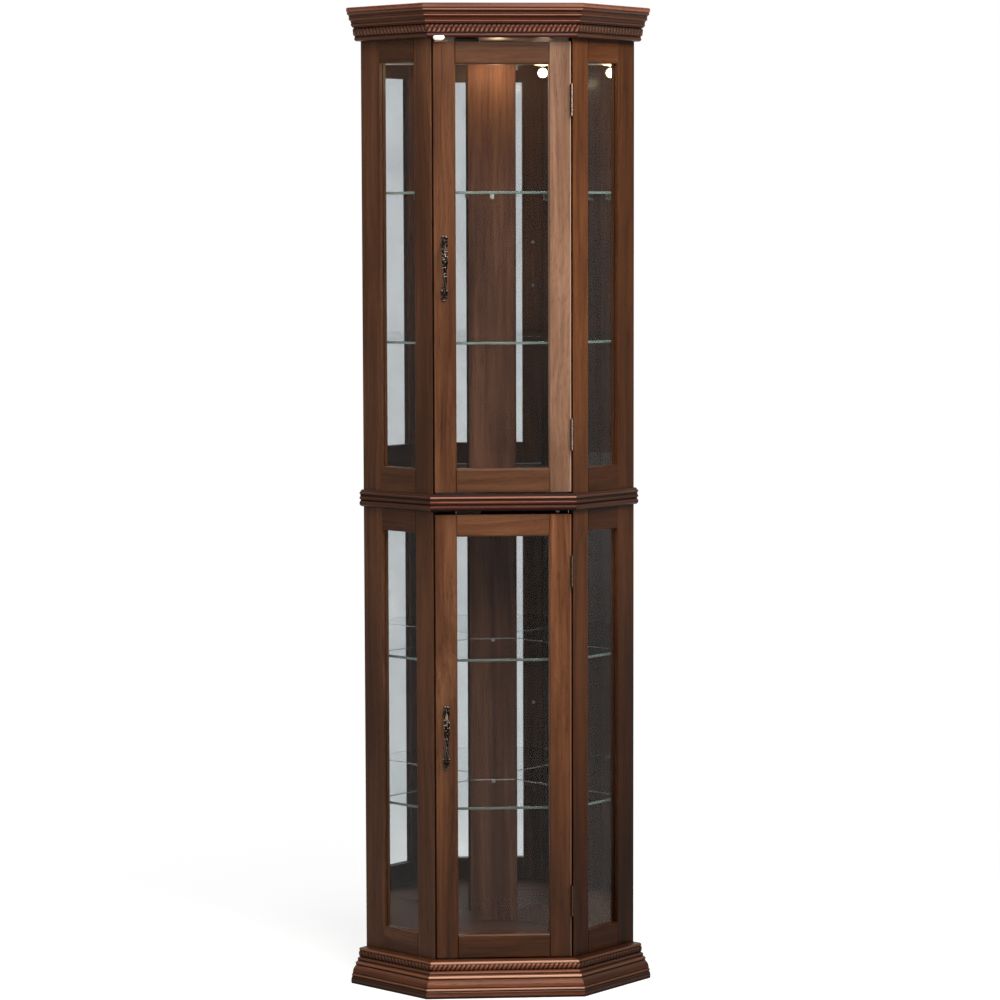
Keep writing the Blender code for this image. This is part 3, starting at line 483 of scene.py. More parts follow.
def rounded(outline, radii, steps=3):
    """An outline with its corners filleted. A radius of 0 keeps a corner."""
    points = []
    count = len(outline)
    for number, (corner, radius) in enumerate(zip(outline, radii)):
        corner = Vector(corner)
        if not radius:
            points.append(tuple(corner))
            continue
        before = (Vector(outline[number - 1]) - corner).normalized()
        after = (Vector(outline[(number + 1) % count]) - corner).normalized()
        half = acos(max(-1.0, min(1.0, before.dot(after)))) / 2
        reach = radius / tan(half)
        middle = corner + (before + after).normalized() * radius / sin(half)
        first, last = corner + before * reach - middle, corner + after * reach - middle
        turn = first.angle_signed(last)
        for step in range(steps + 1):
            swing = -turn * step / steps
            points.append((middle.x + first.x * cos(swing) - first.y * sin(swing),
                           middle.y + first.x * sin(swing) + first.y * cos(swing)))
    return points


def loft(loops):
    """A solid through loops of equal length, capped at both ends."""
    shape = bmesh.new()
    rings = [[shape.verts.new(point) for point in loop] for loop in loops]
    count = len(rings[0])
    for lower, upper in zip(rings, rings[1:]):
        for k in range(count):
            shape.faces.new((lower[k], lower[(k + 1) % count], upper[(k + 1) % count], upper[k]))
    shape.faces.new(rings[0])
    shape.faces.new(rings[-1])
    return shape


def upright(outline, low, high):
    return loft([[(x, y, z) for x, y in outline] for z in (low, high)])


def lengthwise(outline, start, end):
    """An outline in y and z, running along x."""
    return loft([[(x, y, z) for y, z in outline] for x in (start, end)])


def turned(profile, segments=40):
    """A solid of revolution round z from points of radius and height."""
    return loft([[(radius * cos(a), radius * sin(a), height) for a in circle(segments)]
                 for radius, height in profile])


def joined(shapes):
    """Several bmeshes in one."""
    whole = bmesh.new()
    for shape in shapes:
        mesh = mesh_of(shape, "piece")
        whole.from_mesh(mesh)
        bpy.data.meshes.remove(mesh)
    return whole


def placed(shape, matrix):
    shape.transform(matrix)
    if matrix.determinant() < 0:
        bmesh.ops.reverse_faces(shape, faces=shape.faces)
    return shape


def softened(node, width, segments=3):
    """A CAD node's solid with its sharp edges eased."""
    shape = bmesh.new()
    shape.from_mesh(nodes[node].data)
    bmesh.ops.remove_doubles(shape, verts=shape.verts, dist=0.00001)
    bmesh.ops.dissolve_limit(shape, angle_limit=radians(1), verts=shape.verts, edges=shape.edges)
    edges = [e for e in shape.edges
             if len(e.link_faces) == 2 and e.calc_face_angle(0) > radians(35)]
    bmesh.ops.bevel(shape, geom=edges, offset=width, offset_type="OFFSET", segments=segments,
                    profile=0.5, affect="EDGES", clamp_overlap=True, material=-1)
    return shape


def cut_off(shape, point, normal):
    """Take away what lies on the normal's side of a plane, and close the cut."""
    cut = bmesh.ops.bisect_plane(shape, geom=shape.verts[:] + shape.edges[:] + shape.faces[:],
                                 dist=1e-7, plane_co=point, plane_no=normal, clear_outer=True)
    edges = [e for e in cut["geom_cut"] if isinstance(e, bmesh.types.BMEdge)]
    bmesh.ops.holes_fill(shape, edges=edges, sides=0)


def heights(node):
    low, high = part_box(node)
    return low.z, high.z


# Mouldings

def crown_profile():
    """Overhang and height above the lower edge, under the top board."""
    return [(0.3, 0), (11.6, 0), (13.2, 0.7), *arc((13.2, 3.8), 2.9, -65, 40), (15.0, 6.8),
            (15.0, 8.8), (16.5, 9.6), (16.5, 24.0), (20.4, 24.2), (22.0, 25.4), (22.3, 26.9),
            *arc((23.2, 28.7), 1.9, -75, 80), (24.0, 31.0),
            *bulged((24.5, 31.4), (28.4, 37.0), 1.3, 6), *arc((28.9, 38.9), 1.5, -65, 75),
            (29.8, 41.0), *bulged((30.1, 41.4), (33.2, 46.7), 1.4, 7),
            *arc((33.3, 48.7), 1.8, -70, 45), (34.8, 50.7), (0.3, 50.7)]


def waist_profile():
    return [(0.3, 0), (4.4, 0), (6.4, 0.7), *arc((5.6, 6.1), 4.9, -62, 68), (7.2, 11.6),
            (7.0, 12.4), (7.4, 13.1), *arc((7.2, 15.8), 3.0, -68, 68), (8.1, 19.3), (7.9, 21.0),
            (8.3, 22.2), *arc((8.0, 24.8), 2.3, -70, 62), (7.2, 28.0),
            *bulged((7.0, 28.6), (3.6, 31.0), -0.5, 4), (0.3, 31.0)]


def base_profile():
    return [(0.3, 0), (39.4, 0), (40.2, 0.8), *bulged((40.4, 1.4), (40.0, 10.6), -0.5, 6),
            (39.0, 12.0), (37.6, 13.0), *arc((37.2, 15.9), 2.1, -60, 80), (36.6, 18.5),
            (36.4, 19.2), *bulged((36.8, 19.8), (29.6, 31.6), -1.7, 9), (28.4, 32.2),
            (27.7, 32.9), *arc((26.3, 36.2), 2.7, -50, 84), (24.3, 39.7), (23.2, 40.4),
            *arc((21.5, 43.3), 2.1, -60, 78), (20.6, 46.2), (16.5, 46.6), (16.5, 57.9),
            *arc((16.0, 60.4), 2.9, -48, 88), (15.4, 63.5), (0.3, 63.5)]


# Each run's profile, height, and the foot, height, half with painted highlight, and lowering of
# relief into painted shade of its rope
MOULDINGS = (("crown", crown_profile(), CROWN_BOTTOM, (0.0097, 0.0141, -0.60, 1.32)),
             ("waist", waist_profile(), WAIST_BOTTOM, None),
             ("base", base_profile(), 0.0, (0.0466, 0.0113, 0.50, 1.62)))


def rope(start, end, low, tall, lit_half_highlight, level):
    """Twisted rope, half sunk in its seat: slanted round strands with deep valleys."""
    steps_each, steps_round, slant = 8, 11, 0.52
    sunk, root, root_half = 0.0006, 0.0012, 0.45 * tall
    strands = int((end - start) / ROPE_PITCH) + 2
    lead = start - (strands * ROPE_PITCH - (end - start)) / 2
    middle = low + tall / 2
    loops, reliefs = [], []
    for step in range(strands * steps_each + 1):
        along = lead + step * ROPE_PITCH / steps_each
        loop = []
        for k in range(steps_round + 1):
            angle = radians(-88 + 176 * k / steps_round)
            slide = along / ROPE_PITCH - slant * angle / (pi / 2)
            crest = abs(cos(pi * slide)) ** 0.7
            swell = 0.60 + 0.40 * crest
            # Crests take painted highlight, one half is lighter as painted light, and level lowers
            # the valleys into painted shade.
            reliefs.append(1.75 * crest - level + lit_half_highlight * crest * sin(angle))
            proud = (ROPE_PROUD + sunk) * swell * cos(angle) ** 0.8
            loop.append((along, ROPE_SEAT - sunk + proud,
                         middle + tall / 2 * (0.90 + 0.10 * crest) * sin(angle)))
        loop += [(along, ROPE_SEAT - root, middle + root_half),
                 (along, ROPE_SEAT - root, middle - root_half)]
        # The root in the seat takes the full painted shade of a hollow.
        reliefs += [-1.0, -1.0]
        loops.append(loop)
    return mark_relief(loft(loops), reliefs)


def relief_of(outline, reach=1.8, full=0.36, spacing=0.1):
    """How far each point of a profile stands out of its surroundings, from -1 to 1."""
    samples = []
    travelled = [0.0]
    for first, second in zip(outline, outline[1:]):
        length = dist(first, second)
        steps = max(1, int(length / spacing))
        samples += [(travelled[-1] + length * k / steps,
                     first[0] + (second[0] - first[0]) * k / steps,
                     first[1] + (second[1] - first[1]) * k / steps) for k in range(steps)]
        travelled.append(travelled[-1] + length)
    reliefs = []
    for number, (x, z) in enumerate(outline):
        near = [s for s in samples if abs(s[0] - travelled[number]) < reach]
        if number in (0, len(outline) - 1):
            reliefs.append(0.0)
            continue
        ahead, behind = outline[number + 1], outline[number - 1]
        along = Vector((ahead[0] - behind[0], ahead[1] - behind[1])).normalized()
        away = Vector((x - sum(s[1] for s in near) / len(near),
                       z - sum(s[2] for s in near) / len(near)))
        out = away.dot(Vector((along.y, -along.x))) / full
        reliefs.append(max(-1.0, min(1.0, out)))
    return reliefs


def wear_and_painted_light(relief, height, painted_light_rows):
    """The relief of a point, changed by the painted light and shade listed for its height on the
    profile.
    """
    for low, high in zip(painted_light_rows, painted_light_rows[1:]):
        if low[0] <= height <= high[0]:
            share = (height - low[0]) / (high[0] - low[0])
            gain, lift = (a + (b - a) * share for a, b in zip(low[1:], high[1:]))
            return (relief * gain if relief > 0 else relief) + lift
    return relief


def mark_relief(shape, reliefs):
    """Write one relief for each point of a loft's loops."""
    layer = shape.verts.layers.float.new("relief")
    shape.verts.ensure_lookup_table()
    for number, vertex in enumerate(shape.verts):
        vertex[layer] = reliefs[number % len(reliefs)]
    return shape


def moulding(profile, painted_light_rows, length, mitred_end, twisted):
    """One run: x along it, y outwards, z up."""
    back = 0.6 * CLEARANCE
    past_rope = 0.02
    outline = [(x * MM, z * MM) for x, z in profile]

    def begin(overhang):
        return back - overhang * MITRE_SLOPE

    def end(overhang):
        return length - back + overhang * MITRE_SLOPE if mitred_end else length

    run = loft([[(begin(y), y, z) for y, z in outline], [(end(y), y, z) for y, z in outline]])
    mark_relief(run, [wear_and_painted_light(relief, point[1], painted_light_rows)
                      for relief, point in zip(relief_of(profile), profile)])
    if twisted is None:
        return run
    twist = rope(begin(past_rope), end(past_rope), *twisted)
    mitre = Vector((-cos(MITRE_ANGLE), -sin(MITRE_ANGLE), 0))
    cut_off(twist, (back, 0, 0), mitre)
    if mitred_end:
        cut_off(twist, (length - back, 0, 0), Vector((-mitre.x, mitre.y, 0)))
    else:
        cut_off(twist, (length, 0, 0), Vector((1, 0, 0)))
    return joined([run, twist])


def run_matrix(x, angle, height):
    return (Matrix.Translation((x, 0, height)) @ Matrix.Rotation(radians(angle), 4, "Z")
            @ Matrix.Scale(-1, 4, (0, 1, 0)))


def outer_plan(overhang):
    side = SIDE_RUN - overhang / ROOT2
    half = [(HALF_FRONT + overhang * MITRE_SLOPE, -overhang), (WALL_SUM - side, side),
            (BACK_STRIP_WIDTH / 2, BACK_Y)]
    return [*half, *((-x, y) for x, y in reversed(half))]


def make_mouldings():
    for name, profile, height, twisted in MOULDINGS:
        front = placed(moulding(profile, PAINTED_LIGHT_BY_HEIGHT[name], FRONT_WIDTH, True, twisted),
                       run_matrix(-HALF_FRONT, 0, height))
        # The base front takes a lighter stain, partly painted light.
        kind = "base_front" if name == "base" else "moulding_front"
        mesh_piece(f"{name}_moulding_front", front,
                   wood(kind, "x", f"{name}_front"), f"{name}_front")
        painted_light_rows = PAINTED_LIGHT_BY_HEIGHT.get(f"{name}_side", PAINTED_LIGHT_BY_HEIGHT[name])
        for side, mirror in SIDES:
            shape = placed(moulding(profile, painted_light_rows, SIDE_LENGTH, False, twisted),
                           mirror @ run_matrix(HALF_FRONT, 45, height))
            mesh_piece(f"{name}_moulding_{side}", shape,
                       wood("moulding_side", side, f"{name}_{side}"), f"{name}_{side}")


def make_top_board():
    """The top board with a rounded edge that carries a painted highlight band. Its upper face has a
    duller finish.
    """
    low, high = heights("top_board")
    edge = [(34.2, 0.0), *arc((33.9, 2.9), 2.8, -75, 0, 5), *arc((33.9, 5.6), 2.8, 15, 80, 5),
            (32.4, 9.0)]
    loops = [[(x, y, low + rise * MM * (high - low) / 0.009) for x, y in outer_plan(over * MM)]
             for over, rise in edge]
    # Painted highlight band round the rounded edge, brightest on its lower part.
    board = mark_relief(loft(loops),
                        [0.52 - 0.2 * abs(rise - 2.0) / 5.5 for _, rise in edge for _ in loops[0]])
    board.faces.ensure_lookup_table()
    board.faces[-1].material_index = 1
    mesh_piece("top_board_rounded", board,
               [wood("moulding_front", "x", "top_board"), wood("top_face", "x")], "top_board")


# Side frames and doors

def groove(face, first, last, way):
    """The corners of a pane's groove in a face, cut in the way of 1 or -1."""
    deep = face + way * GROOVE_DEPTH
    return [(face, first), (deep, first), (deep, last), (face, last)]


def rail_groove(face, first, last, way):
    return [(y, z) for z, y in groove(face, first, last, way)]


def stile_outlines(edge, near, far):
    """The plans of a front stile, with the lip behind the door, and of a rear stile."""
    width, thick = FRONT_STILE_WIDTH, FRAME_THICKNESS
    behind = DOOR_THICKNESS + STOP_GAP
    stop = [((-across + deep) / ROOT2, (deep + across) / ROOT2)
            for across, deep in ((STILE_NIB + STOP_LIP, ROOT2 * thick - STILE_NIB),
                                 (STILE_NIB + STOP_LIP, behind), (STILE_NIB, behind))]
    front = rounded([(0, 0), (width, 0), *groove(width, near, far, -1), (width, thick),
                     (thick - STILE_NIB * ROOT2, thick), *stop,
                     (-STILE_NIB / ROOT2, STILE_NIB / ROOT2)],
                    [0.0012, 0.0016, 0, 0, 0, 0, 0.0008, 0, 0.0005, 0.0005, 0, 0.0004])
    rear = rounded([(edge, 0), (SIDE_LENGTH, 0), (SIDE_LENGTH, thick), (edge, thick),
                    *groove(edge, far, near, 1)], [0.0016, 0.0014, 0.0005, 0.0008, 0, 0, 0, 0])
    return ("front_stile", front), ("rear_stile", rear)


def side_rail_outline(low, high, near, far, below, above):
    """Depth and height of a rail, grooved and eased on the edges that face a pane."""
    outline, radii = [(0, low)], [0.0014 * below]
    if below:
        outline += rail_groove(low, near, far, 1)
        radii += [0] * 4
    outline += [(FRAME_THICKNESS, low), (FRAME_THICKNESS, high)]
    radii += [0.0008 * below, 0.0008 * above]
    if above:
        outline += rail_groove(high, far, near, -1)
        radii += [0] * 4
    return rounded([*outline, (0, high)], [*radii, 0.0014 * above])


def make_side_frames():
    near = (FRAME_THICKNESS - GROOVE_WIDTH) / 2
    far = near + GROOVE_WIDTH
    edge = SIDE_LENGTH - REAR_STILE_WIDTH
    for side, mirror in reversed(SIDES):
        kind = f"frame_{side}"
        for name, outline in stile_outlines(edge, near, far):
            node = f"{side}_{name}"
            shape = placed(upright(outline, *heights(node)), mirror @ SIDE)
            mesh_piece(f"{node}_wood", shape, wood(kind, "z", node), node)
        for name, below, above in (("bottom_rail", 0, 1), ("middle_rail", 1, 1),
                                   ("top_rail", 1, 0)):
            node = f"{side}_{name}"
            outline = side_rail_outline(*heights(node), near, far, below, above)
            shape = placed(lengthwise(outline, FRONT_STILE_WIDTH + CLEARANCE, edge - CLEARANCE),
                           mirror @ SIDE)
            mesh_piece(f"{node}_wood", shape, wood(kind, side, node), node)


def make_doors():
    near = (DOOR_THICKNESS - GROOVE_WIDTH) / 2
    far = near + GROOVE_WIDTH
    inner = DOOR_EDGE - DOOR_STILE_WIDTH
    chamfer, thick = DOOR_CHAMFER, DOOR_THICKNESS
    stile = rounded([(inner + chamfer, 0), (DOOR_EDGE - 0.0030, 0), (DOOR_EDGE, 0),
                     (DOOR_EDGE, thick), (inner, thick), *groove(inner, far, near, 1),
                     (inner, chamfer)], [0.0006, 0, 0.0012, 0.0008, 0.0006, 0, 0, 0, 0, 0.0005])
    # A painted highlight, partly rubbed wear, along the outer arris of each hinge stile.
    arris_x, arris_y, rub_and_highlight = DOOR_EDGE - 0.0014, 0.0011, 0.62
    rubbed_and_highlight = [rub_and_highlight if x > arris_x and y < arris_y else 0.0 for x, y in stile]
    for door in DOORS:
        for side, mirror in (("hinge", HERE), ("handle", MIRROR)):
            node = f"{door}_{side}_stile"
            # The upper hinge stile takes the lighter stain as a painted sheen.
            kind = "door_painted_sheen" if node == "upper_door_hinge_stile" else "door"
            shape = upright(stile, *heights(f"{door}_hinge_stile"))
            if side == "hinge":
                mark_relief(shape, rubbed_and_highlight)
            mesh_piece(f"{node}_wood", placed(shape, mirror),
                       wood(kind, "z", node), node, door)
        for name in ("bottom_rail", "top_rail"):
            node = f"{door}_{name}"
            low, high = heights(node)
            outline = [(0, low), (thick, low), (thick, high), *rail_groove(high, far, near, -1),
                       (chamfer, high), (0, high - chamfer)]
            if name == "top_rail":
                outline = [(y, low + high - z) for y, z in outline]
            radii = [0.0010, 0.0008, 0.0006, 0, 0, 0, 0, 0.0005, 0.0006]
            shape = lengthwise(rounded(outline, radii), -inner + CLEARANCE, inner - CLEARANCE)
            mesh_piece(f"{node}_wood", shape, wood("door", "x", node), node, door)


# Handles, in millimetres until they are placed

def swept(path, size, sides, flutes, depth, twist):
    """A tube along a path in the plane x = const, with elliptical, fluted sections."""
    loops = []
    count = len(path)
    across = Vector((1, 0, 0))
    for k, point in enumerate(path):
        ahead = Vector(path[min(k + 1, count - 1)]) - Vector(path[max(k - 1, 0)])
        ahead.normalize()
        out = ahead.cross(across).normalized()
        share = k / (count - 1)
        wide, tall = size(share)
        loop = []
        for angle in circle(sides):
            swell = 1 + depth * cos(flutes * angle + twist * share)
            loop.append(Vector(point) + across * wide * swell * cos(angle)
                        + out * tall * swell * sin(angle))
        loops.append(loop)
    return loft(loops)


def blob(centre, radii, turn=0.0):
    shape = bmesh.new()
    bmesh.ops.create_uvsphere(shape, u_segments=16, v_segments=10, radius=1.0)
    shape.transform(Matrix.Translation(centre) @ Matrix.Rotation(radians(turn), 4, "Y")
                    @ Matrix.Diagonal((*radii, 1.0)))
    return shape


def curl(centre, radius, thick, start, end, steps=26, sides=12):
    """A volute lying on the door: a ring whose ends taper."""
    loops = []
    for k in range(steps + 1):
        share = k / steps
        angle = radians(start + (end - start) * share)
        spin = Vector((cos(angle), 0, sin(angle)))
        fat = thick * (0.55 + 0.45 * sin(pi * min(1.0, share * 1.6 + 0.08)))
        grown = radius * (1 - 0.16 * share)
        loops.append([Vector(centre) + spin * (grown + fat * cos(a)) + Vector((0, -fat * sin(a), 0))
                      for a in circle(sides)])
    return loft(loops)


def handle_shape():
    """Cast bow pull: leaves on the upper arm, a bare lower arm, curled ends."""
    reach, foot, half, half_steps = 21.0, 2.4, 47.0, 30
    shares = [k / half_steps - 1 for k in range(2 * half_steps + 1)]
    path = [(0, -(foot + (reach - foot) * (1 - abs(share) ** 2.7)), half * share)
            for share in shares]

    def size(share):
        place = 2 * share - 1
        leaf = exp(-((place - 0.36) / 0.30) ** 4)
        collar = sum(exp(-((place - at) / 0.022) ** 2) for at in (-0.74, -0.30, -0.22, 0.02))
        swell = 0.6 * exp(-((place + 0.5) / 0.12) ** 2)
        return 3.2 + 2.0 * leaf + 1.5 * collar + swell, 2.5 + 0.5 * leaf + 1.3 * collar

    shapes = [swept(path, size, 24, 5, 0.13, 26.0)]
    for at, way in ((0.10, -1), (0.20, 1), (0.30, -1), (0.40, 1), (0.50, -1), (0.60, 1),
                    (0.70, -1)):
        place = path[round(half_steps + half_steps * at)]
        shapes += [blob((way * 3.4, place[1] - 0.4, place[2]), (2.5, 1.9, 4.0), way * 34),
                   blob((way * 1.2, place[1] - 2.3, place[2] + 1.5), (1.2, 0.9, 1.6), way * 30)]
    for end in (-1, 1):
        shapes += [blob((0, -1.0, end * 45.5), (6.2, 2.2, 7.0)),
                   blob((-4.2, -1.2, end * 42.5), (2.6, 1.9, 4.6), end * 24),
                   blob((4.2, -1.2, end * 42.5), (2.6, 1.9, 4.6), -end * 24),
                   blob((0, -2.6, end * 43.5), (2.2, 1.7, 5.5))]
    return joined([*shapes, curl((0, -2.2, -53.2), 4.7, 2.0, 90, 450),
                   curl((0.4, -2.2, 53.4), 4.4, 2.1, -70, 215),
                   blob((-2.6, -2.4, 57.0), (2.4, 2.2, 2.4))])


def cast_handle():
    """The pull as one skin in metres, flat where it meets the door."""
    holder = linked("cast", mesh_of(placed(handle_shape(), IN_MM), "cast"))
    remesh = holder.modifiers.new("remesh", "REMESH")
    remesh.mode, remesh.voxel_size = "VOXEL", 0.00045
    smooth = holder.modifiers.new("smooth", "SMOOTH")
    smooth.factor, smooth.iterations = 0.5, 2
    made = evaluated(holder)
    bpy.data.objects.remove(holder)
    shape = bmesh.new()
    shape.from_mesh(made)
    cut_off(shape, (0, -0.0003, 0), Vector((0, 1, 0)))
    return shape


def make_handles():
    for door in DOORS:
        low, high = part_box(f"{door}_handle")
        middle = (low + high) / 2
        mesh_piece(f"{door}_pull", cast_handle(), bronze, f"{door}_handle", door,
                   Matrix.Translation((middle.x, FRONT_Y, middle.z)), 60, weighted=False)
        screws = []
        for end in (-1, 1):
            head = turned([(0.0002, 1.6), (1.6, 1.5), (3.0, 0.9), (3.4, 0.0)], 20)
            spot = (middle.x / MM, DOOR_THICKNESS / MM, middle.z / MM + end * PULL_SCREW)
            screws.append(placed(head, Matrix.Translation(spot)
                                 @ Matrix.Rotation(radians(-90), 4, "X")))
        mesh_piece(f"{door}_pull_screws", placed(joined(screws), IN_MM), steel,
                   body=door, smooth=50)


# Glass shelves, lamp, switch and small fittings

def make_shelves():
    for name in SHELVES:
        shape = softened(name, 0.0006, 2)
        shape.normal_update()
        for face in shape.faces:
            face.material_index = 0 if abs(face.normal.z) > 0.9 else 1
        mesh_piece(f"{name}_glass", shape, [shelf_glass, shelf_edge], name,
                   matrix=HERE)


LENS_PROFILE = [(0.01, -2.9), (5.0, -2.7), (9.0, -2.0), (11.8, -1.0), (13.1, 0.2), (13.4, 1.2),
                (13.4, 2.6), (0.01, 2.6)]
RIM_PROFILE = [(13.6, 2.2), (13.6, -0.6), (14.2, -1.3), (15.4, -1.3), (17.2, -0.5), (17.4, 0.0),
               (15.2, 0.0), (15.2, 2.2), (13.6, 2.2)]


def make_lamp():
    mesh_piece("lamp_housing", softened("lamp_bar", 0.0009), lamp_metal,
               "lamp_bar", matrix=HERE)
    low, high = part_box("lamp_bar")
    spots = (low.y + LENS_INSET, high.y - LENS_INSET)
    for y in spots:
        lamp = bpy.data.lights.new("cabinet_lamp", "POINT")
        lamp.energy, lamp.shadow_soft_size = 0.36, 0.009
        lamp.color = (1.0, 0.76, 0.46)
        light = linked("cabinet_lamp", lamp)
        light.location = (0, y, low.z - LAMP_DROP)
        light.visible_transmission = False
    for name, profile, finish in (("lamp_lenses", LENS_PROFILE, lens_glow),
                                  ("lamp_rims", RIM_PROFILE, rim_glow)):
        shapes = [placed(turned(profile), Matrix.Translation((0, y, low.z)) @ IN_MM) for y in spots]
        mesh_piece(name, joined(shapes), finish, matrix=HERE, smooth=50)


def make_switch():
    low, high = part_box("touch_switch")
    place = Matrix.Translation(((low.x + high.x) / 2, (low.y + high.y) / 2, CROWN_BOTTOM))
    profile = [(0.01, -4.8), (5.4, -4.7), (7.6, -4.1), (9.2, -2.9), (10.2, -1.2), (10.5, 0.6),
               (10.2, 2.2), (9.4, 2.9), (0.01, 2.9)]
    mesh_piece("touch_switch_cap", turned(profile), switch_painted_glow,
               "touch_switch", matrix=place @ IN_MM, smooth=50)


def make_shelf_pins():
    profile = [(2.0, 9.4), (2.6, 9.1), (2.75, 8.6), (2.75, 1.3), (4.0, 1.2), (4.3, 0.9), (4.3, 0)]
    rear = SIDE_LENGTH - REAR_STILE_WIDTH + PIN_INSET
    seats = [(SIDE @ Vector((FRONT_STILE_WIDTH - PIN_INSET, FRAME_THICKNESS, 0)), 135),
             (SIDE @ Vector((rear, FRAME_THICKNESS, 0)), 135),
             (Vector((0, BACK_Y - POST_DEPTH, 0)), -90)]
    pins = []
    for name in SHELVES:
        level = heights(name)[0] - CLEARANCE - PIN_DROP
        for seat, turn in seats:
            spin = Matrix.Rotation(radians(turn), 4, "Z") @ Matrix.Rotation(radians(90), 4, "Y")
            place = Matrix.Translation((seat.x, seat.y, level)) @ spin @ IN_MM
            for mirror in (HERE,) if seat.x == 0 else (HERE, MIRROR):
                pins.append(placed(turned(profile, 20), mirror @ place))
    mesh_piece("shelf_pins", joined(pins), steel, smooth=50)


def make_hinge_screws():
    for door in DOORS:
        for part, body, turn, face in (("frame", "cabinet", -90, HINGE_X + LEAF_FACE),
                                       ("door", door, 90, HINGE_X - LEAF_FACE)):
            spin = Matrix.Rotation(radians(turn), 4, "Y") @ IN_MM
            heads = []
            for end in ("top", "bottom"):
                low, high = heights(f"{door}_{end}_hinge_{part}_leaf")
                for share in SCREW_SHARES:
                    head = turned([(0.01, 0.32), (1.7, 0.30), (2.2, 0.12), (2.3, 0.0)], 16)
                    spot = (face, FRONT_Y + SCREW_BACK, low + (high - low) * share)
                    heads.append(placed(head, Matrix.Translation(spot) @ spin))
            mesh_piece(f"{door}_{part}_hinge_screws", joined(heads), steel,
                       body=body, matrix=HERE, smooth=50)


def make_stop_strips():
    """Strips over the lower door, on both sides of its catch, that keep the light out."""
    left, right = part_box("lower_catch")
    reach = HALF_FRONT - STILE_NIB - 0.0064
    front = FRONT_Y + DOOR_THICKNESS + STOP_GAP
    back, foot, head = front + 0.0060, WAIST_BOTTOM - 0.0150, WAIST_BOTTOM - 0.0002
    outline = rounded([(front, foot), (back, foot), (back, head), (front, head)],
                      [0.0012, 0.0012, 0, 0])
    strips = [lengthwise(outline, start, end)
              for start, end in ((-reach, left.x - 0.0010), (right.x + 0.0010, reach))]
    mesh_piece("lower_door_stop_strips", joined(strips),
               wood("board", "x", "stop_strips"), matrix=HERE)


def make_catches():
    profile = [(0.01, -5.1), (1.6, -4.8), (3.3, -3.6), (4.2, -1.6), (4.3, -0.2), (0.01, -0.2)]
    place = Matrix.Translation((BUMPER_X, FRONT_Y + BUMPER_BACK, WAIST_BOTTOM))
    mesh_piece("lower_door_bumper", turned(profile, 28), white_plastic,
               matrix=place @ IN_MM, smooth=50)
    plate_half, plate_foot, plate_head, plate_thick = 0.014, 0.016, 0.002, 0.0008
    for place in ("upper", "lower"):
        catch = f"{place}_catch"
        mesh_piece(f"{catch}_body", softened(catch, 0.0010), white_plastic,
                   catch, matrix=HERE)
        low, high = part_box(catch)
        middle = (low.x + high.x) / 2
        left, right = middle - plate_half, middle + plate_half
        top = heights(f"{place}_door_top_rail")[1]
        plate = rounded([(left, top - plate_foot), (right, top - plate_foot),
                         (right, top - plate_head), (left, top - plate_head)], [0.002] * 4, 4)
        back = FRONT_Y + DOOR_THICKNESS
        loops = [[(x, y, z) for x, z in plate] for y in (back, back + plate_thick)]
        mesh_piece(f"{place}_strike_plate", loft(loops), steel,
                   body=f"{place}_door", matrix=HERE)


# Camera, matched to the photograph

def make_camera():
    yaw, pitch, roll = 0.06145, 0.0867, -0.00271
    forward = Vector((sin(yaw) * cos(pitch), cos(yaw) * cos(pitch), -sin(pitch)))
    level = Vector((cos(yaw), -sin(yaw), 0))
    over = level.cross(forward)
    right = level * cos(roll) + over * sin(roll)
    above = right.cross(forward)
    data = bpy.data.cameras.new("camera")
    data.sensor_fit, data.sensor_width = "HORIZONTAL", 36.0
    data.lens, data.shift_x = 112.545, -0.00303
    camera = linked("camera", data)
    place = Matrix((right, above, -forward)).transposed().to_4x4()
    place.translation = (-0.3470, -5.7849, 1.4001)
    camera.matrix_world = place
    scene.camera = camera


# Floor, world and lights

def make_floor():
    """A pale floor that keeps the shadow and turns into the white backdrop farther away."""
    shape = bmesh.new()
    bmesh.ops.create_circle(shape, cap_ends=True, segments=96, radius=14.0)
    floor = linked("floor", mesh_of(shape, "floor"))
    floor.location.z = cad_low.z - 0.0002
    look = Finish("pale_floor")
    away = look.put("VectorMath", {0: look.coordinates}, operation="LENGTH").outputs["Value"]
    fade = look.span(away, 0.55, 1.5)
    shows = look.shows_backdrop(look.span(look.part(look.coordinates, "Y"), 0.3, 0.9))
    colour = look.ramp(look.noise(look.coordinates, 3.0, 2.0),
                       [(0.3, (0.54, 0.54, 0.54)), (0.7, (0.57, 0.57, 0.57))])
    dull = look.put("BsdfPrincipled", {"Base Color": colour, "Roughness": 0.85,
                                       "Specular IOR Level": 0.1})
    white, lift = (look.put("Emission", {"Color": (1.0, 1.0, 1.0), "Strength": strength})
                   for strength in (1.0, look.times(shows, 0.70)))
    lifted = look.put("AddShader", {0: dull, 1: lift})
    mixed = look.put("MixShader", {0: look.times(shows, fade), 1: lifted, 2: white})
    floor.data.materials.append(look.closed(mixed))


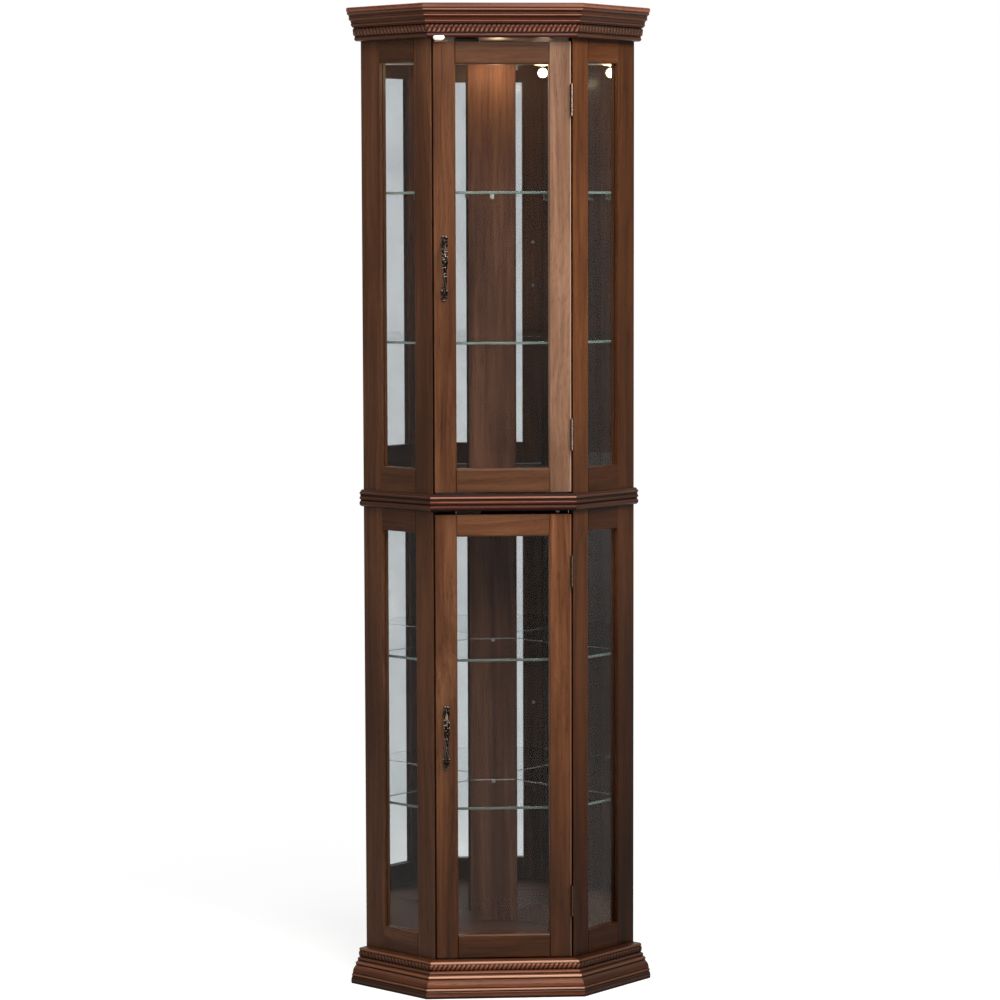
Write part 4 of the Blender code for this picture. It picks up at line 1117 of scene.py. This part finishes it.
def make_world():
    """A white backdrop, and for diffuse light and reflections a room that is dim in front."""
    world = bpy.data.worlds.new("studio")
    scene.world = world
    world.use_nodes = True
    sky = Nodes(world.node_tree)
    way = sky.part(sky.put("TexCoord").outputs["Generated"], "Y")
    levels = ((0.0, 0.10), (0.30, 0.12), (0.58, 0.15), (0.80, 0.45), (1.0, 0.90))
    colour = sky.ramp(sky.span(way, -1.0, 1.0),
                      [(place, (level, level * 1.01, level * 1.03)) for place, level in levels])
    room = sky.put("Background", {"Color": colour})
    backdrop = sky.put("Background", {"Color": (1.0, 1.0, 1.0)})
    shows = sky.shows_backdrop(sky.span(way, 0.25, 0.75))
    sky.put("OutputWorld", {"Surface": sky.put("MixShader", {0: shows, 1: room, 2: backdrop})})


SOFTBOXES = (   # place, target, width, height, power and colour
    ("front_softbox", (0.8, -3.5, 3.3), (0, 0, 0.85), 1.8, 1.4, 72, (1.0, 0.985, 0.965)),
    ("top_softbox", (0.0, -1.3, 3.3), (0, -0.1, 0.9), 2.2, 0.8, 30, (1.0, 0.95, 0.89)),
    ("left_fill", (-2.7, -2.9, 2.6), (0, 0, 1.0), 1.2, 1.2, 24, (1.0, 0.98, 0.96)),
    ("right_near", (1.0, -1.15, 2.6), (0.15, -0.1, 1.55), 0.6, 0.6, 25, (1.0, 0.96, 0.91)),
)


def make_lights():
    for name, place, target, width, height, power, colour in SOFTBOXES:
        data = bpy.data.lights.new(name, "AREA")
        data.shape, data.size, data.size_y = "RECTANGLE", width, height
        data.energy, data.color = power, colour
        light = linked(name, data)
        light.location = place
        toward = Vector(target) - Vector(place)
        light.rotation_euler = toward.to_track_quat("-Z", "Y").to_euler()


def dress_nodes():
    """Finishes of the CAD nodes that show as they are. The boards are the first random draws."""
    finishes = {name: pane_glass for name in nodes if name.endswith("_glass")}
    finishes.update({name: silvered for name in nodes if name.endswith("_mirror")})
    finishes.update({name: brasses_with_painted_shade[place] for place in brasses_with_painted_shade for name in nodes
                     if name.startswith(place) and name.endswith("_leaf")})
    for kind, grain, names in (("board", "x", ("top_panel", "middle_panel", "bottom_panel")),
                               ("board", "z", ("back_post",)),
                               ("back", "z", ("left_back_panel", "right_back_panel"))):
        finishes.update({name: wood(kind, grain, name) for name in names})
    for name, finish in finishes.items():
        nodes[name].data.materials.clear()
        nodes[name].data.materials.append(finish)


make_camera()
dress_nodes()
make_mouldings()
make_top_board()
make_side_frames()
make_doors()
make_handles()
make_shelves()
make_lamp()
make_switch()
make_shelf_pins()
make_hinge_screws()
make_stop_strips()
make_catches()
make_floor()
make_world()
make_lights()
scene.view_settings.view_transform = "Standard"
